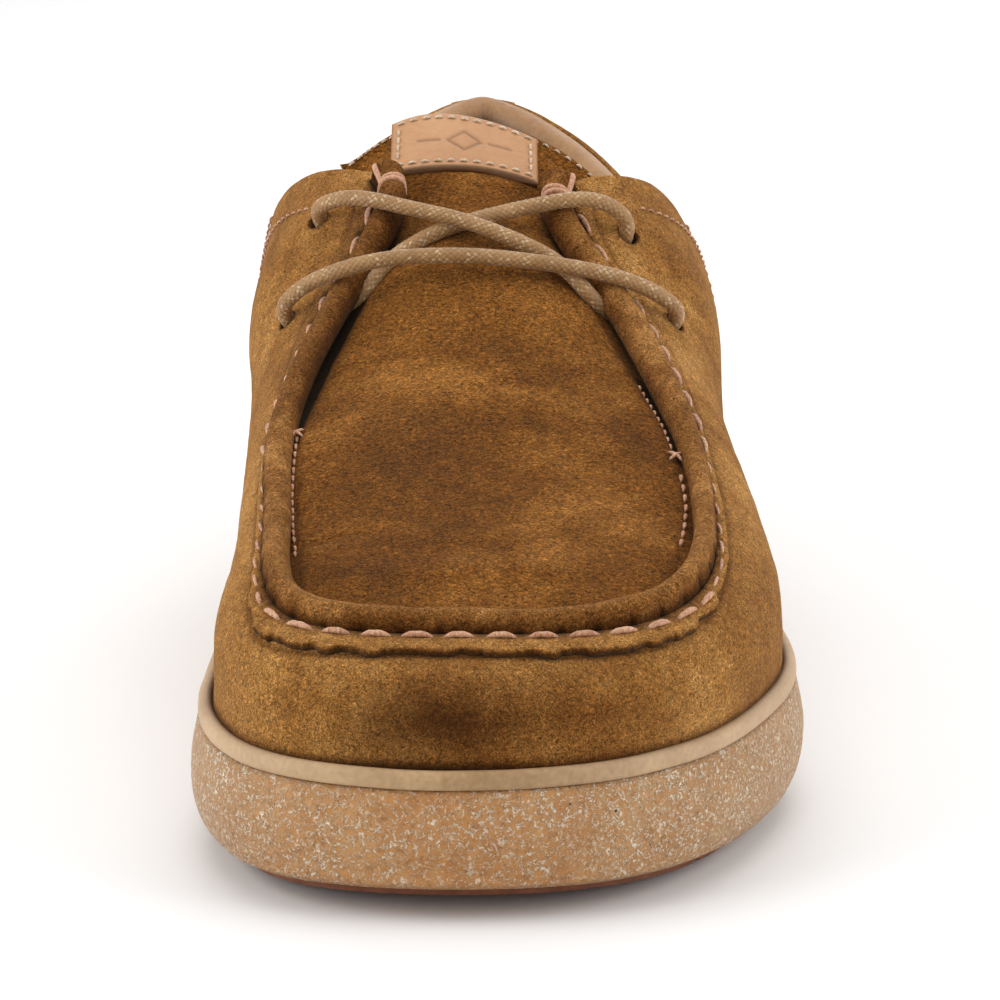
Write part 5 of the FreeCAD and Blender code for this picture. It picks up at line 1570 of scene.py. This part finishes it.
# ---------------------------------------------------------------- heel collar
def make_collar():
    u = np.linspace(knot(11.75), knot(18.25), 420)
    length = rib_length(u)
    ends = np.minimum(u - u[0], u[-1] - u)
    full = 0.25 + 0.75 * ease(ends / 26.0)
    # millimetres above the top edge, and depth inside the suede's outer face
    section = np.array(((-1.6, 2.0), (0.3, 1.95), (1.6, 2.3), (2.5, 3.4), (2.6, 4.9), (1.9, 6.6), (0.2, 8.3), (-2.4, 9.4),
                        (-6.0, 9.9), (-10.0, 9.8), (-14.0, 9.2), (-18.0, 8.0), (-21.0, 6.6), (-23.5,
                                                                                              5.2), (-24.5, 4.0),
                        (-21.0, 3.9), (-12.0, 3.9), (-5.0, 3.6)))
    knots = np.linspace(0.0, 1.0, len(section) + 1)
    curve = Curve(knots, section, closed=True)
    dense = curve(np.linspace(0.0, 1.0, 84, endpoint=False))
    rise = dense[None, :, 0] * np.where(dense[None, :, 0] < 0.0, 0.55 + 0.45 * full[:, None], full[:, None])
    depth = 3.6 + (dense[None, :, 1] - 3.6) * full[:, None]
    depth = np.where(dense[None, :, 1] < 3.6, 3.6 + (dense[None, :, 1] - 3.6) * 1.0, depth)
    v = 1.0 + rise / length[:, None]
    points = wall(u[:, None] + 0.0 * v, v, depth)
    place = np.stack([u[:, None] + 0.0 * v, rise, depth], -1)
    inside = ease((depth - 4.0) / 3.0)
    puff = (0.35 * noise(place * np.array([1.0, 0.35, 0.2]), 9.0, 95)
            + 0.15 * noise(place * np.array([1.0, 0.5, 0.2]), 3.6, 97))
    crease = -0.9 * np.exp(-((u - knot(14.35)) / 1.3) ** 2)[:, None] * inside
    crease = crease - 0.5 * np.exp(-((u - knot(16.1)) / 1.1) ** 2)[:, None] * inside
    # fine wrinkles running down from the roll, where the leather is gathered round the heel
    lean = u[:, None] + 0.35 * rise + 1.2 * noise(place, 7.0, 101)
    gather = np.abs(noise(np.stack([lean, 0.12 * rise, 0.0 * lean], -1), 2.2, 103))
    gather = np.exp(-(gather / 0.12) ** 2) * ease((rise + 5.5) / 5.0)
    crease = crease - 0.15 * gather * inside
    normal = wall_normal(u[:, None] + 0.0 * v, v)
    points = points - normal * ((puff + crease) * inside)[..., None]
    points[..., 2] += (0.25 * noise(place, 12.0, 99) + 0.5 * crease) * ease((rise + 2.0) / 2.0)
    # Painted shade: a line in the seam crease, along the lower outer edge, in the fine wrinkles and over the inside
    # of the collar below the roll. Painted highlight along the top of the roll.
    dark = (0.6 * np.exp(-((u - knot(14.35)) / 0.7) ** 2)[:, None] * inside
            + 0.7 * ease((2.4 - depth) / 0.5) * ease((0.2 - rise) / 0.6))
    dark = dark + 0.12 * gather * inside + 0.85 * ease((depth - 5.6) / 1.4) * ease((2.2 - rise) / 2.5)
    light = np.exp(-((rise - 2.2) / 1.2) ** 2) * ease((7.0 - depth) / 2.0)
    collar = loop_solid("collar_roll", points, collar_leather,
                        marks={"dark": np.clip(dark, 0.0, 0.9), "light": light})
    return done(collar, "collar_leather", "collar_cover", "collar_padding")


make_collar()


# ---------------------------------------------------------------- machine stitching of the upper
def wall_row(name, u, down, step_length, width, lift=0.12):
    v = 1.0 - down / rib_length(u)
    normal = wall_normal(u, v)
    base = wall_skin(u, v)
    base = base + normal * (relief(base) + lift)[..., None]
    ahead = (wall_skin(u + 0.4, 1.0 - down / rib_length(u + 0.4))
             - wall_skin(u - 0.4, 1.0 - down / rib_length(u - 0.4)))
    piece = stitches(name, base, ahead, normal, step_length, width, thread, rings=7, around=6)
    return done(piece, "thread")


for name, first, last in (("topline_stitch_medial", knot(8.55), knot(11.0) - 1.0),
                          ("topline_stitch_lateral", knot(19.0) + 1.0, knot(21.5))):
    row = even_u(first, last, 2.5, lambda u: from_edge(u, 10.0 + 0.0 * u))
    wall_row(name, row, 10.0 + 0.0 * row, 1.8, 0.55)
row = even_u(knot(11.0) + 1.0, knot(15.0) - 9.5, 2.5, lambda u: from_edge(u, 10.0 + 0.0 * u))
wall_row("collar_stitch_medial", row, 10.0 + 0.0 * row, 1.8, 0.55, lift=-0.13)
row = even_u(knot(15.0) + 9.5, knot(19.0) - 1.0, 2.5, lambda u: from_edge(u, 10.0 + 0.0 * u))
wall_row("collar_stitch_lateral", row, 10.0 + 0.0 * row, 1.8, 0.55, lift=-0.13)


def seam_rows(name, u0, sign):
    for number, offset in enumerate((1.6, 4.2)):
        down = np.arange(1.5, float(rib_length(u0)) - 3.0, 2.5)
        u = np.full(len(down), u0 - sign * offset)
        v = 1.0 - down / rib_length(u)
        normal = wall_normal(u, v)
        base = wall_skin(u, v)
        base = base + normal * (relief(base) + 0.12)[..., None]
        along = wall_skin(u, v + 0.01) - wall_skin(u, v - 0.01)
        done(stitches("%s_%d" % (name, number), base, along, normal, 1.8, 0.55, thread, rings=7,
                      around=6), "thread")


seam_rows("side_seam_stitch_medial", SEAM_INNER, 1.0)
seam_rows("side_seam_stitch_lateral", SEAM_OUTER, -1.0)

# ---------------------------------------------------------------- carried-over nodes
dress("tread_forefoot", tread_rubber)
dress("tread_heel", tread_rubber)
dress("midsole", foam)
dress("shank", steel)
dress("rand", board)
dress("insole_board", board)
dress("heel_counter", board)
dress("footbed", footbed_leather)


# ---------------------------------------------------------------- floor
def make_floor():
    s = Shade("floor", roughness=0.7, specular=0.2)
    tone = s.ramp(s.noise(3.0, 2.0), ((0.3, 0.90), (0.7, 0.92)))
    material = s.finish(tone)
    size = 4000.0
    corners = np.array(((-size, -size, -0.05), (size, -size, -0.05), (size, size, -0.05), (-size, size, -0.05)))
    floor = make_mesh("floor", corners, [(0, 1, 2, 3)], material)


make_floor()
